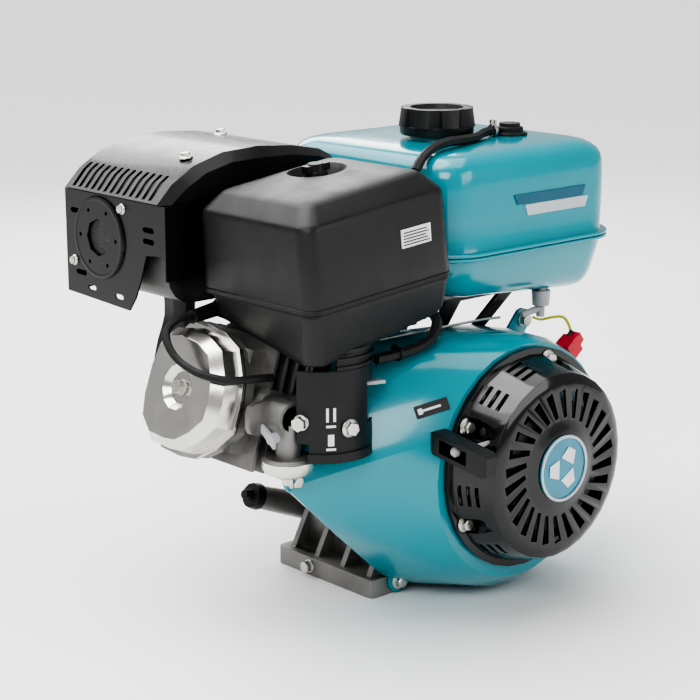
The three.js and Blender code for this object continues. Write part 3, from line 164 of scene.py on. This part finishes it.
def surface(name, color, rough, metal=0.0, grain=(900, 0.05), mottle=0.12, mottle_scale=35, coat=0.0,
            other=None, rounded=True):
    """Finish with colour mottling, uneven roughness, a fine grain and softly rounded edges."""
    material, tree, shader = blank_material(name)
    shader.inputs["Metallic"].default_value = metal
    shader.inputs["Coat Weight"].default_value = coat
    shader.inputs["Coat Roughness"].default_value = 0.06
    patches = noise(tree, mottle_scale)
    mix = tree.nodes.new("ShaderNodeMix")
    mix.data_type = "RGBA"
    second = other or [min(1.0, c * (1 + mottle)) for c in color]
    mix.inputs["A"].default_value = (*[c * (1 - mottle) for c in color], 1)
    mix.inputs["B"].default_value = (*second, 1)
    tree.links.new(spread(tree, patches.outputs["Fac"], 0, 1), mix.inputs["Factor"])
    tree.links.new(mix.outputs["Result"], shader.inputs["Base Color"])
    tree.links.new(spread(tree, patches.outputs["Fac"], rough * 0.85, min(1, rough * 1.2)),
                   shader.inputs["Roughness"])
    fine = noise(tree, grain[0], 2.0)
    bump = tree.nodes.new("ShaderNodeBump")
    bump.inputs["Strength"].default_value = grain[1]
    bump.inputs["Distance"].default_value = 0.0004
    tree.links.new(fine.outputs["Fac"], bump.inputs["Height"])
    if rounded:
        edge = tree.nodes.new("ShaderNodeBevel")
        edge.samples = 6
        edge.inputs["Radius"].default_value = EDGE_ROUNDING
        tree.links.new(edge.outputs["Normal"], bump.inputs["Normal"])
    tree.links.new(bump.outputs["Normal"], shader.inputs["Normal"])
    return material


def pattern_surface(name, color, rough, texture, scale, strength, metal=0.0):
    """Finish with a coarse relief: cells for foam and mesh, waves for a braid, with painted shade darkening
    the relief's low parts.
    """
    material, tree, shader = blank_material(name)
    shader.inputs["Metallic"].default_value = metal
    shader.inputs["Roughness"].default_value = rough
    where = tree.nodes.new("ShaderNodeTexCoord")
    relief = tree.nodes.new(texture)
    relief.inputs["Scale"].default_value = scale
    tree.links.new(where.outputs["Object"], relief.inputs["Vector"])
    # Painted shade: the colour falls to 0.35 of itself where the relief is low, in its hollows.
    hollow_shade_mix = tree.nodes.new("ShaderNodeMix")
    hollow_shade_mix.data_type = "RGBA"
    hollow_shade_mix.inputs["A"].default_value = (*[c * 0.35 for c in color], 1)
    hollow_shade_mix.inputs["B"].default_value = (*color, 1)
    height = relief.outputs["Distance" if texture == "ShaderNodeTexVoronoi" else "Fac"]
    tree.links.new(height, hollow_shade_mix.inputs["Factor"])
    tree.links.new(hollow_shade_mix.outputs["Result"], shader.inputs["Base Color"])
    bump = tree.nodes.new("ShaderNodeBump")
    bump.inputs["Strength"].default_value = strength
    bump.inputs["Distance"].default_value = 0.0008
    tree.links.new(height, bump.inputs["Height"])
    tree.links.new(bump.outputs["Normal"], shader.inputs["Normal"])
    return material


PAINTED = {
    "cast_alloy": dict(color=(0.27, 0.265, 0.255), rough=0.50, metal=0.85, grain=(1500, 0.55), mottle=0.16,
                       mottle_scale=45),
    "zinc_steel": dict(color=(0.62, 0.61, 0.57), rough=0.30, metal=1.0, grain=(700, 0.1), mottle=0.10,
                       mottle_scale=120),
    "dark_steel": dict(color=(0.10, 0.098, 0.095), rough=0.45, metal=0.85, grain=(900, 0.2), mottle=0.25,
                       mottle_scale=60),
    "pressed_steel": dict(color=(0.66, 0.65, 0.63), rough=0.22, metal=1.0, grain=(500, 0.05), mottle=0.05,
                          mottle_scale=30, other=(0.70, 0.685, 0.64)),
    "black_rubber": dict(color=(0.009, 0.009, 0.009), rough=0.55, grain=(1200, 0.15), mottle=0.2,
                         mottle_scale=50),
    "black_plastic": dict(color=(0.0085, 0.0086, 0.009), rough=0.40, grain=(1000, 0.55), mottle=0.12,
                          mottle_scale=40),
    "black_gloss_plastic": dict(color=(0.005, 0.005, 0.0055), rough=0.12, grain=(300, 0.02), mottle=0.1,
                                mottle_scale=30, coat=0.4),
    "grey_plastic": dict(color=(0.36, 0.37, 0.38), rough=0.40, grain=(900, 0.08), mottle=0.08,
                         mottle_scale=50),
    "red_plastic": dict(color=(0.55, 0.012, 0.03), rough=0.30, grain=(600, 0.05), mottle=0.10,
                        mottle_scale=60),
    "teal_paint": dict(color=(0.003, 0.255, 0.315), rough=0.20, grain=(260, 0.03), mottle=0.035,
                       mottle_scale=14, coat=0.6),
    "badge_plastic": dict(color=(0.008, 0.22, 0.32), rough=0.18, grain=(300, 0.02), mottle=0.15,
                          mottle_scale=40, coat=0.7),
    "black_paint": dict(color=(0.006, 0.006, 0.0062), rough=0.27, metal=0.2, grain=(800, 0.12), mottle=0.2,
                        mottle_scale=40, coat=0.15),
    "yellow_wire": dict(color=(0.62, 0.60, 0.04), rough=0.40, mottle=0.1, mottle_scale=60),
}
RELIEF = {
    "filter_foam": dict(color=(0.20, 0.18, 0.15), rough=0.95, texture="ShaderNodeTexVoronoi", scale=420,
                        strength=0.8),
    "rope_fibre": dict(color=(0.72, 0.70, 0.66), rough=0.85, texture="ShaderNodeTexWave", scale=300,
                       strength=0.7),
    "mesh_screen": dict(color=(0.12, 0.12, 0.12), rough=0.5, texture="ShaderNodeTexVoronoi", scale=700,
                        strength=0.9, metal=0.8),
}
PRINTS = {
    "white_print": dict(color=(0.72, 0.73, 0.74), rough=0.38, mottle=0.04),
    "silver_print": dict(color=(0.50, 0.54, 0.57), rough=0.30, metal=0.6, mottle=0.06),
    "dark_print": dict(color=(0.012, 0.10, 0.16), rough=0.35, mottle=0.1),
    "black_print": dict(color=(0.010, 0.010, 0.011), rough=0.40, mottle=0.1),
}
FINISHES = {
    **{name: surface(name, **recipe) for name, recipe in PAINTED.items()},
    **{name: pattern_surface(name, **recipe) for name, recipe in RELIEF.items()},
    **{name: surface(name, **recipe, mottle_scale=60, rounded=False) for name, recipe in PRINTS.items()},
}


# ---------- building blocks ----------


def smooth_modifier():
    """Node group that welds an imported mesh and shades it smooth across small angles."""
    group = bpy.data.node_groups.new("smooth_small_angles", "GeometryNodeTree")
    group.interface.new_socket("Geometry", in_out="INPUT", socket_type="NodeSocketGeometry")
    group.interface.new_socket("Geometry", in_out="OUTPUT", socket_type="NodeSocketGeometry")
    start = group.nodes.new("NodeGroupInput")
    end = group.nodes.new("NodeGroupOutput")
    plain = group.nodes.new("GeometryNodeRemoveAttribute")
    plain.inputs["Name"].default_value = "custom_normal"
    weld = group.nodes.new("GeometryNodeMergeByDistance")
    weld.inputs["Distance"].default_value = 1e-6
    angle = group.nodes.new("GeometryNodeInputMeshEdgeAngle")
    wide = group.nodes.new("FunctionNodeCompare")
    wide.operation = "GREATER_THAN"
    wide.inputs["B"].default_value = math.radians(SMOOTH_ANGLE)
    faces = group.nodes.new("GeometryNodeSetShadeSmooth")
    edges = group.nodes.new("GeometryNodeSetShadeSmooth")
    edges.domain = "EDGE"
    edges.inputs["Shade Smooth"].default_value = False
    link = group.links.new
    link(start.outputs[0], plain.inputs["Geometry"])
    link(plain.outputs["Geometry"], weld.inputs["Geometry"])
    link(weld.outputs["Geometry"], faces.inputs["Geometry"])
    link(faces.outputs["Geometry"], edges.inputs["Geometry"])
    link(angle.outputs["Unsigned Angle"], wide.inputs["A"])
    link(wide.outputs["Result"], edges.inputs["Selection"])
    link(edges.outputs["Geometry"], end.inputs[0])
    return group


SMOOTH = smooth_modifier()


def smooth(obj):
    modifier = obj.modifiers.new("smooth", "NODES")
    modifier.node_group = SMOOTH


def linked(name, data):
    """A new object in the scene."""
    obj = bpy.data.objects.new(name, data)
    bpy.context.scene.collection.objects.link(obj)
    return obj


def closed_object(name, points, faces):
    """An object made from drawing points, with its faces turned outwards."""
    mesh = bpy.data.meshes.new(name)
    mesh.from_pydata([place(*p) for p in points], [], faces)
    work = bmesh.new()
    work.from_mesh(mesh)
    bmesh.ops.recalc_face_normals(work, faces=work.faces)
    work.to_mesh(mesh)
    work.free()
    return linked(name, mesh)


def new_object(name, points, faces, material, body=BODY, slot_name=None):
    """A closed piece made from drawing points, riding on a body."""
    obj = closed_object(name, points, faces)
    obj.data.materials.append(material)
    smooth(obj)
    if body:
        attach(obj, body)
    return obj


def loft(rings):
    """Points and faces of a closed skin over equal rings, with a flat cap at each end."""
    count = len(rings[0])
    points = [p for ring in rings for p in ring]
    faces = []
    for level in range(len(rings) - 1):
        a, b = level * count, (level + 1) * count
        for i in range(count):
            j = (i + 1) % count
            faces.append((a + i, a + j, b + j, b + i))
    faces.append(tuple(range(count)))
    faces.append(tuple(range(len(points) - count, len(points))))
    return points, faces


def circle(middle, u, v, radius, sides):
    """Points round a middle, in the plane of u and v."""
    return [tuple(middle + (u * math.cos(t) + v * math.sin(t)) * radius)
            for t in (2 * math.pi * i / sides for i in range(sides))]


def frame_of(direction):
    """Two axes square to a direction, and the direction itself."""
    w = Vector(direction).normalized()
    u = w.orthogonal().normalized()
    return u, w.cross(u), w


def lathe(centre, direction, profile, sides=48):
    """Points and faces of a turned piece with flat ends. The profile is [(radius, height)]."""
    u, v, w = frame_of(direction)
    return loft([circle(Vector(centre) + w * height, u, v, radius, sides) for radius, height in profile])


def band(centre, direction, section, sides):
    """Points and faces of a turned ring: its section is closed, so the end caps go."""
    points, faces = lathe(centre, direction, [*section, section[0]], sides)
    return points, faces[:-2]


def joined(*shapes):
    """Several closed shapes as the points and faces of one piece."""
    points, faces = [], []
    for shape_points, shape_faces in shapes:
        base = len(points)
        points += list(shape_points)
        faces += [tuple(base + i for i in face) for face in shape_faces]
    return points, faces


def rounded_rect(x0, x1, y0, y1, radius, steps=10):
    """A closed outline with round corners, starting at its right back corner."""
    corners = [(x1 - radius, y1 - radius, 0), (x0 + radius, y1 - radius, 90),
               (x0 + radius, y0 + radius, 180), (x1 - radius, y0 + radius, 270)]
    outline = []
    for cx, cy, start in corners:
        for i in range(steps + 1):
            t = math.radians(start + 90 * i / steps)
            outline.append((cx + radius * math.cos(t), cy + radius * math.sin(t)))
    return outline


def cut_with(obj, shapes):
    """Cuts closed shapes out of a piece and keeps the result as its mesh."""
    obj.modifiers.remove(obj.modifiers["smooth"])
    cutters = [closed_object("cutter", points, faces) for points, faces in shapes]
    for cutter in cutters:
        modifier = obj.modifiers.new("cut", "BOOLEAN")
        modifier.object = cutter
        modifier.solver = "EXACT"
    graph = bpy.context.evaluated_depsgraph_get()
    mesh = bpy.data.meshes.new_from_object(obj.evaluated_get(graph), depsgraph=graph)
    obj.modifiers.clear()
    old = obj.data
    obj.data = mesh
    bpy.data.meshes.remove(old)
    for cutter in cutters:
        mesh = cutter.data
        bpy.data.objects.remove(cutter)
        bpy.data.meshes.remove(mesh)
    smooth(obj)


def plate(name, corners, thickness, direction, material, body=BODY):
    """A thin printed plate on its four or more corner points."""
    lift = Vector(direction).normalized() * thickness
    top = [tuple(Vector(p) + lift) for p in corners]
    points, faces = loft([list(corners), top])
    return new_object(name, points, faces, material, body, "badge_plastic")


def flange_bolt(name, centre, direction, across=10, flange_radius=8, height=7, body=BODY):
    """A hexagon bolt head with a rounded top, on a round flange."""
    u, v, w = frame_of(direction)
    radius = across / 2 / math.cos(math.radians(30))
    levels = ((1.0, 1.6), (1.0, height - 1.0), (0.86, height), (0.5, height + 0.15))
    head = [circle(Vector(centre) + w * level, u, v, radius * scale, 6) for scale, level in levels]
    section = [(0.5, 0), (1, 0), (1, 0.9), (0.8, 2.0), (0.4, 2.1)]
    flange = lathe(centre, direction, [(scale * flange_radius, level) for scale, level in section], 32)
    return new_object(name, *joined(loft(head), flange), FINISHES["zinc_steel"], body)


# ---------- CAD pieces that keep their shape ----------


def dress_frame():
    """Gives every CAD node its record slot's finish and smooth shading."""
    for entry in frame["record"]["subparts"]:
        obj = frame["nodes"][entry["node"]]
        obj.data.materials.clear()
        obj.data.materials.append(FINISHES[entry["material_slot"]])
        smooth(obj)
    screen = frame["nodes"]["spark_arrester"]
    screen.data.materials.clear()
    screen.data.materials.append(FINISHES["mesh_screen"])


# ---------- fuel tank ----------


def tank_ring(level, inset, corner, lean=0.0):
    """One outline of the tank. lean raises the side over the cylinder."""
    x0, x1, y0, y1 = TANK
    outline = rounded_rect(x0 + inset, x1 - inset, y0 + inset, y1 - inset, corner)
    return [(x, y, level + lean * max(0.0, (TANK_LEAN_START - x) / TANK_LEAN_SPAN)) for x, y in outline]


def fuel_tank():
    """Skins of the tank's halves: (level, inset, corner radius) from the seam up, and up to the seam
    with a fourth value for the lean. The neck is open, so that the strainer can lift out."""
    upper = [(TANK_SEAM, -6.2, 44), (TANK_SEAM + 0.6, -7, 45), (TANK_SEAM + 2.4, -7, 45),
             (TANK_SEAM + 3.2, -6, 44), (TANK_SEAM + 3.6, -1, 39), (TANK_SEAM + 6, -0.1, 38), (340, 0.4, 34),
             (368, 1.2, 31), (381, 2, 30), (387.5, 3.4, 30), (392, 5.8, 30), (396, 9.4, 31), (398.8, 14, 32),
             (400.4, 20, 33), (401.4, 29, 34), (TANK_TOP, 60, 30)]
    top = new_object("tank_top_skin", *loft([tank_ring(*level) for level in upper]), FINISHES["teal_paint"])
    cut_with(top, [lathe((*FILLER, TANK_SEAM + 3), (0, 0, 1), [(NECK_BORE, 0), (NECK_BORE, 100)])])
    neck = [(NECK_BORE, 0), (26, 0), (26, 12.5), (25.2, 13.8), (NECK_BORE, 13.8)]
    new_object("tank_neck", *band((*FILLER, 396), (0, 0, 1), neck, 48), FINISHES["teal_paint"])
    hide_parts("fuel_tank_upper")
    lower = [(260.2, 50, 20, 15), (260.4, 25, 22, 15), (261.6, 19, 24, 15), (264.5, 14.5, 26, 14),
             (269, 11, 28, 13), (277, 7.5, 31, 9), (290, 4, 34, 3), (302, 0.8, 37, 0),
             (307.6, 0, 38, 0), (308.2, -6, 44, 0), (308.9, -7, 45, 0), (310.8, -7, 45, 0),
             (311.5, -6.2, 44, 0)]
    bottom = new_object("tank_bottom_skin", *loft([tank_ring(*level) for level in lower]),
                        FINISHES["teal_paint"])
    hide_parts("fuel_tank_lower")


def tank_label():
    """Two slanted bars without any text, on the tank's starter side."""
    y = TANK[2] + 0.9
    bars = (("label_dark_bar", 26, 118, 352, 361, FINISHES["dark_print"], 0.25),
            ("label_silver_bar", 40, 122, 341, 351, FINISHES["silver_print"], 0.35))
    for name, x0, x1, z0, z1, material, lift in bars:
        corners = [(x0 + 4, y, z0), (x1, y, z0), (x1 + 4, y, z1), (x0, y, z1)]
        plate(name, corners, 0.9 + lift, TOWARDS_STARTER, material)


# ---------- air cleaner ----------


def cleaner_outline(inset, depth, corner):
    return rounded_rect(inset, CLEANER_WIDTH - inset, inset, depth - inset, corner)


def cleaner_hollow(depth, levels):
    """A straight-sided room inside the air cleaner, from (height, inset) levels."""
    return loft([[cleaner_point(u, v, h) for u, v in cleaner_outline(inset, depth, 12)]
                 for h, inset in levels])


def air_cleaner_cover():
    """The cover: (height, inset, corner radius) levels, a dish round the knob, and room for the filter."""
    levels = ((0.4, -0.2, 15), (1.5, 0, 15), (4, 0, 15), (4.6, 0.9, 14), (6, 0.4, 14), (40, 1.2, 15),
              (68, 2, 15), (71.5, 2.6, 15), (73.2, 3.6, 15), (74.6, 5.2, 14), (84.6, 15.6, 11),
              (86, 17.6, 10), (87.2, 21, 10), (88.2, 30, 9), (88.6, 42, 8))
    rings = []
    for h, inset, corner in levels:
        rise = max(0.0, (h - 40) / 48)
        rings.append([cleaner_point(u, v, h + u * 0.045 * rise)
                      for u, v in cleaner_outline(inset, CLEANER_DEPTH, corner)])
    cover = new_object("cleaner_cover_skin", *loft(rings), FINISHES["black_plastic"], "cleaner_cover")
    up = Vector(cleaner_point(0, 0, 1)) - Vector(cleaner_point(0, 0, 0))
    dish = lathe(cleaner_point(*KNOB_SPOT, 83.0), up, [(17, 0), (20.5, 1.2), (23.5, 6), (27, 11), (30, 14)])
    cut_with(cover, [dish, cleaner_hollow(CLEANER_DEPTH, ((-2, 3), (66, 5)))])
    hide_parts("air_cleaner_cover")


def air_cleaner_base():
    """The tray below the cover, hollow on top. Its underside slopes down to the front left corner."""
    rings = []
    for drop, inset in ((0, 1.2), (0.06, 0.9), (0.12, 1.8), (0.82, 4.5), (0.95, 7), (1.0, 11)):
        ring = []
        for u, v in cleaner_outline(inset, TRAY_DEPTH, 14):
            x, y, top = cleaner_point(u, v, -0.2)
            behind = max(0.0, min(1.0, (v - 56) / 40))
            floor = 244.5 + max(0.0, x + 209) * 0.2 + behind * 14
            far_back = max(0.0, v - 108) * 0.62
            ring.append((x, y, top + (min(floor + far_back, top - 8) - top) * drop))
        rings.append(ring)
    base = new_object("cleaner_base_skin", *loft(rings), FINISHES["black_plastic"])
    cut_with(base, [cleaner_hollow(TRAY_DEPTH, ((2, 4), (-14, 6)))])
    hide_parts("air_cleaner_base")


def cleaner_label():
    """A small white plate with grey lines, without any text, on the cover's front."""
    def patch(name, left, right, low, high, out, thickness, material):
        corners = [cleaner_point(u, CLEANER_FRONT - out, h)
                   for u, h in ((left, low), (right, low), (right, high), (left, high))]
        plate(name, corners, thickness, TOWARDS_STARTER, material, "cleaner_cover")

    thickness = 1.2
    patch("cleaner_label", 104, 138, 36, 52, 0, thickness, FINISHES["white_print"])
    for i in range(5):
        low = 38 + i * 2.6
        right = 136 - (i * 7) % 5
        patch(f"cleaner_label_line_{i}", 106, right, low, low + 0.9, thickness, 0.25,
              FINISHES["black_print"])


# ---------- starter, fan housing and muffler details ----------


def badge():
    """A silver rim and a raised wheel pattern, without any text, on the starter's centre."""
    face = STARTER_FACE - BADGE_STAND_OFF
    section = [(27.4, 0.6), (30.2, 0.6), (30.2, -0.3), (29.4, -0.65), (28.0, -0.65), (27.4, -0.1)]
    rim = band((0, face, CRANK_HEIGHT), TOWARDS_SHAFT, section, 72)
    new_object("badge_rim", *rim, FINISHES["silver_print"], slot_name="zinc_steel")
    for i in range(3):
        angle = math.radians(120 * i + 90)
        shape = [(-9, 7), (9, 7), (5, 19), (-5, 19)]
        corners = [(a * math.cos(angle) - b * math.sin(angle), face + 0.2,
                    CRANK_HEIGHT + a * math.sin(angle) + b * math.cos(angle)) for a, b in shape]
        plate(f"badge_wedge_{i}", corners, 0.5, TOWARDS_STARTER, FINISHES["white_print"])


def bolts():
    """Bolts of the starter, fan housing, control cover and muffler guard."""
    for i, degrees in enumerate(STARTER_BOLTS):
        spot = around_crank(degrees, STARTER_BOLT_RADIUS, -147.2)
        flange_bolt(f"starter_bolt_{i}", spot, TOWARDS_STARTER)
    flange_bolt("shroud_bolt_left", (-200, -59.6, 132), TOWARDS_STARTER)
    flange_bolt("shroud_bolt_foot", (-81, -65.5, 12), TOWARDS_STARTER)
    angle = 262
    outward = (math.cos(math.radians(angle)), math.sin(math.radians(angle)), 0)
    flange_bolt("control_nut_right", around_column(angle, 43.5, 188), outward, 11)
    for spot in ((-212, 70, 399.4), (-110, 150, 404)):
        flange_bolt(f"guard_bolt_{spot[1]}", spot, (-0.1, 0, 1), 8, 6.5, 5)
    for y, z in ((176, 300), (100, 356)):
        flange_bolt(f"panel_bolt_{y}", (PANEL_X, y, z), (-1, 0, 0), 7, 5, 4)


def side_cover_details():
    """Bolts round the side cover's rim, black discs of painted shade in the threaded holes of its four pads
    and a seal round the shaft.
    """
    cover = frame["nodes"]["side_cover"]
    for i, (x, z) in enumerate(SIDE_COVER_BOLTS):
        hit, point, _, _ = cover.ray_cast(place(x, 400, z), Vector(TOWARDS_STARTER))
        if hit:
            flange_bolt(f"side_cover_bolt_{i}", (x, point.y * 1000 - 0.2, z), TOWARDS_SHAFT, 9, 7, 6)
    # Painted shade: a flat black disc on each pad's face stands for the dark inside of its threaded hole.
    for i, (x, z) in enumerate(PADS):
        ring = lathe((x, PAD_FACE - 0.4, z), TOWARDS_SHAFT, [(4.4, 0), (4.4, 0.5), (3.2, 0.52)], 24)
        new_object(f"pad_hole_shade_{i}", *ring, FINISHES["black_print"], slot_name="dark_steel")
    section = [(26, 0), (26, 1.6), (24, 2.4), (19, 1.6), (17.4, 1.4)]
    seal = lathe((0, 117.5, CRANK_HEIGHT), TOWARDS_SHAFT, section, 48)
    new_object("shaft_seal", *seal, FINISHES["black_rubber"])


def control_symbols():
    """Plain raised marks on the cover of the controls: (start and end angle, low and high z)."""
    marks = (("bar", 234, 245, 190, 192), ("slash", 234, 237, 195, 207), ("block", 242, 245, 195, 207),
             ("drop", 236, 243, 174, 184), ("base", 234, 245, 170, 172))
    steps = 6
    swell = 0.012
    for name, start, end, z0, z1 in marks:
        angles = [start + (end - start) * i / steps for i in range(steps + 1)]
        inner = [around_column(degrees, COLUMN_RADIUS, z0) for degrees in angles]
        inner += [around_column(degrees, COLUMN_RADIUS, z1) for degrees in reversed(angles)]
        outer = [(x + (x - COLUMN[0]) * swell, y + (y - COLUMN[1]) * swell, z) for x, y, z in inner]
        new_object(f"control_mark_{name}", *loft([inner, outer]), FINISHES["white_print"],
                   slot_name="grey_plastic")


def on_housing(x, z):
    """Where a line along +Y meets the front of the fan housing, and the surface's direction there."""
    start = place(x, -400, z)
    hit, point, normal, _ = frame["nodes"]["blower_housing"].ray_cast(start, Vector(TOWARDS_SHAFT))
    if not hit:
        raise ValueError("the plate misses the fan housing")
    return point, normal


def housing_plate():
    """A small dark plate with a white tool mark, lying on the fan housing's shoulder."""
    point, normal = on_housing(-102, 193)
    along = Vector((1, 0, 0)) - normal * normal.x
    along.normalize()
    across = normal.cross(along)
    if across.z < 0:
        across = -across

    def corner(a, b, lift):
        spot = point + (along * a + across * b + normal * lift) / 1000
        return (spot.x * 1000 - SHIFT_X, spot.y * 1000, spot.z * 1000)

    def patch(name, left, right, half, lift, thickness, material):
        outline = ((left, -half), (right, -half), (right, half), (left, half))
        plate(name, [corner(a, b, lift) for a, b in outline], thickness, normal, material)

    patch("housing_plate", -15, 15, 5.5, 0.2, 0.7, FINISHES["black_print"])
    patch("housing_plate_mark", -9, 8, 1, 0.9, 0.3, FINISHES["white_print"])
    patch("housing_plate_end", -12.5, -8.5, 2.6, 0.9, 0.3, FINISHES["white_print"])


def outlet_bead():
    """A raised bead round the muffler's outlet."""
    section = [(31.5, 0), (33, -2.4), (35, -2.9), (36.8, -2.4), (37.6, 0)]
    bead = band((PANEL_X, *OUTLET_SPOT), (1, 0, 0), section, 64)
    new_object("outlet_bead", *bead, FINISHES["black_paint"])


def outlet_screen():
    """The round mesh inside the outlet, with a rolled rim."""
    section = [(16.6, 0), (16.6, 2.2), (14.6, 3.4), (13.4, 2.6), (6, 4.2), (0.5, 4.6)]
    screen = lathe((PANEL_X + 4, *OUTLET_SPOT), (-1, 0, 0), section, 40)
    new_object("outlet_screen", *screen, FINISHES["mesh_screen"], slot_name="dark_steel")


def pull_rope():
    """The rope from inside the starter to its handle."""
    start, end = ROPE_ENDS
    steps = 48
    rings = [circle(Vector((start + (end - start) * i / steps, ROPE_Y, ROPE_Z)), Vector((0, 1, 0)),
                    Vector((0, 0, 1)), ROPE_RADIUS, 12) for i in range(steps + 1)]
    rope = new_object("pull_rope_skin", *loft(rings), FINISHES["rope_fibre"], body=None)
    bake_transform(rope)
    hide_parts("starter_rope")


def cable_tie(name, centre, direction, radius):
    """A band with a small square head round a sleeve."""
    u, v, w = frame_of(direction)
    section = [(radius, -1.3), (radius + 1.1, -1.3), (radius + 1.1, 1.3), (radius, 1.3)]
    middle = Vector(centre)
    head = [[tuple(middle + u * (radius + 0.6 + a) + v * b + w * c)
             for a, b in ((0, -2), (3.4, -2), (3.4, 2), (0, 2))] for c in (-2, 2)]
    new_object(name, *joined(band(centre, direction, section, 32), loft(head)), FINISHES["black_plastic"])


def wire_boot():
    """A small rubber boot that carries the ground wire's end into the stop switch."""
    end = around_crank(WIRE_END_ANGLE, WIRE_END_RADIUS, WIRE_END_Y)
    angle = math.radians(WIRE_END_ANGLE)
    section = [(1.5, -2.2), (1.9, -1.8), (2.1, 4.4), (2.1, 5)]
    boot = lathe(end, (-math.cos(angle), 0, -math.sin(angle)), section, 24)
    new_object("wire_boot", *boot, FINISHES["black_plastic"])


# ---------- stage ----------


def studio_floor():
    """A wide plain floor under the feet."""
    material, _, shader = blank_material("studio_floor")
    shader.inputs["Base Color"].default_value = (0.86, 0.86, 0.86, 1)
    shader.inputs["Roughness"].default_value = 0.6
    mesh = bpy.data.meshes.new("studio_floor")
    corners = ((-1, -1), (1, -1), (1, 1), (-1, 1))
    mesh.from_pydata([(x * FLOOR_HALF, y * FLOOR_HALF, 0) for x, y in corners], [], [(0, 1, 2, 3)])
    mesh.materials.append(material)
    linked("studio_floor", mesh)


def softbox(name, location, size, power):
    """A soft rectangular light aimed at the engine's middle."""
    light = bpy.data.lights.new(name, "AREA")
    light.shape = "RECTANGLE"
    light.size, light.size_y = size
    light.energy = power
    obj = linked(name, light)
    obj.location = location
    obj.rotation_mode = "QUATERNION"
    obj.rotation_quaternion = (Vector((0, 0, 0.2)) - Vector(location)).to_track_quat("-Z", "Y")


def lights():
    """Four softboxes, a wide sun and a pale world that looks brighter than it lights."""
    softbox("key_left", (-1.6, -1.0, 1.5), (1.2, 1.0), 18)
    softbox("fill_front", (0.7, -2.0, 1.0), (1.4, 1.0), 10)
    softbox("top", (0.1, 0.2, 1.9), (1.6, 1.6), 14)
    softbox("back_rim", (0.9, 1.7, 1.2), (1.4, 0.8), 14)
    sun = bpy.data.lights.new("sky", "SUN")
    sun.energy = 2.6
    sun.angle = math.radians(60)
    sky = linked("sky", sun)
    sky.rotation_euler = (math.radians(-28), math.radians(-14), 0)
    world = bpy.data.worlds.new("studio")
    world.use_nodes = True
    tree = world.node_tree
    background = tree.nodes["Background"]
    background.inputs["Color"].default_value = (1, 1, 1, 1)
    rays = tree.nodes.new("ShaderNodeLightPath")
    strength = tree.nodes.new("ShaderNodeMapRange")
    strength.inputs["To Min"].default_value = 0.40
    strength.inputs["To Max"].default_value = 1.3
    tree.links.new(rays.outputs["Is Camera Ray"], strength.inputs["Value"])
    tree.links.new(strength.outputs["Result"], background.inputs["Strength"])
    bpy.context.scene.world = world


def camera():
    """The photo's point of view."""
    data = bpy.data.cameras.new("camera")
    data.sensor_width = CAMERA_SENSOR
    data.lens = CAMERA_LENS
    obj = linked("camera", data)
    obj.location = place(*CAMERA_SPOT)
    level = math.cos(CAMERA_ELEVATION)
    look = Vector((math.sin(CAMERA_AZIMUTH) * level, math.cos(CAMERA_AZIMUTH) * level,
                   -math.sin(CAMERA_ELEVATION)))
    obj.rotation_mode = "QUATERNION"
    obj.rotation_quaternion = look.to_track_quat("-Z", "Y")
    bpy.context.scene.camera = obj
    bpy.context.scene.view_settings.look = "AgX - High Contrast"


dress_frame()
fuel_tank()
tank_label()
air_cleaner_cover()
air_cleaner_base()
cleaner_label()
badge()
bolts()
control_symbols()
side_cover_details()
outlet_bead()
housing_plate()
outlet_screen()
pull_rope()
cable_tie("sleeve_tie_left", (-118, -102, 239), (1, 0, 0), 5.2)
wire_boot()
studio_floor()
lights()
camera()
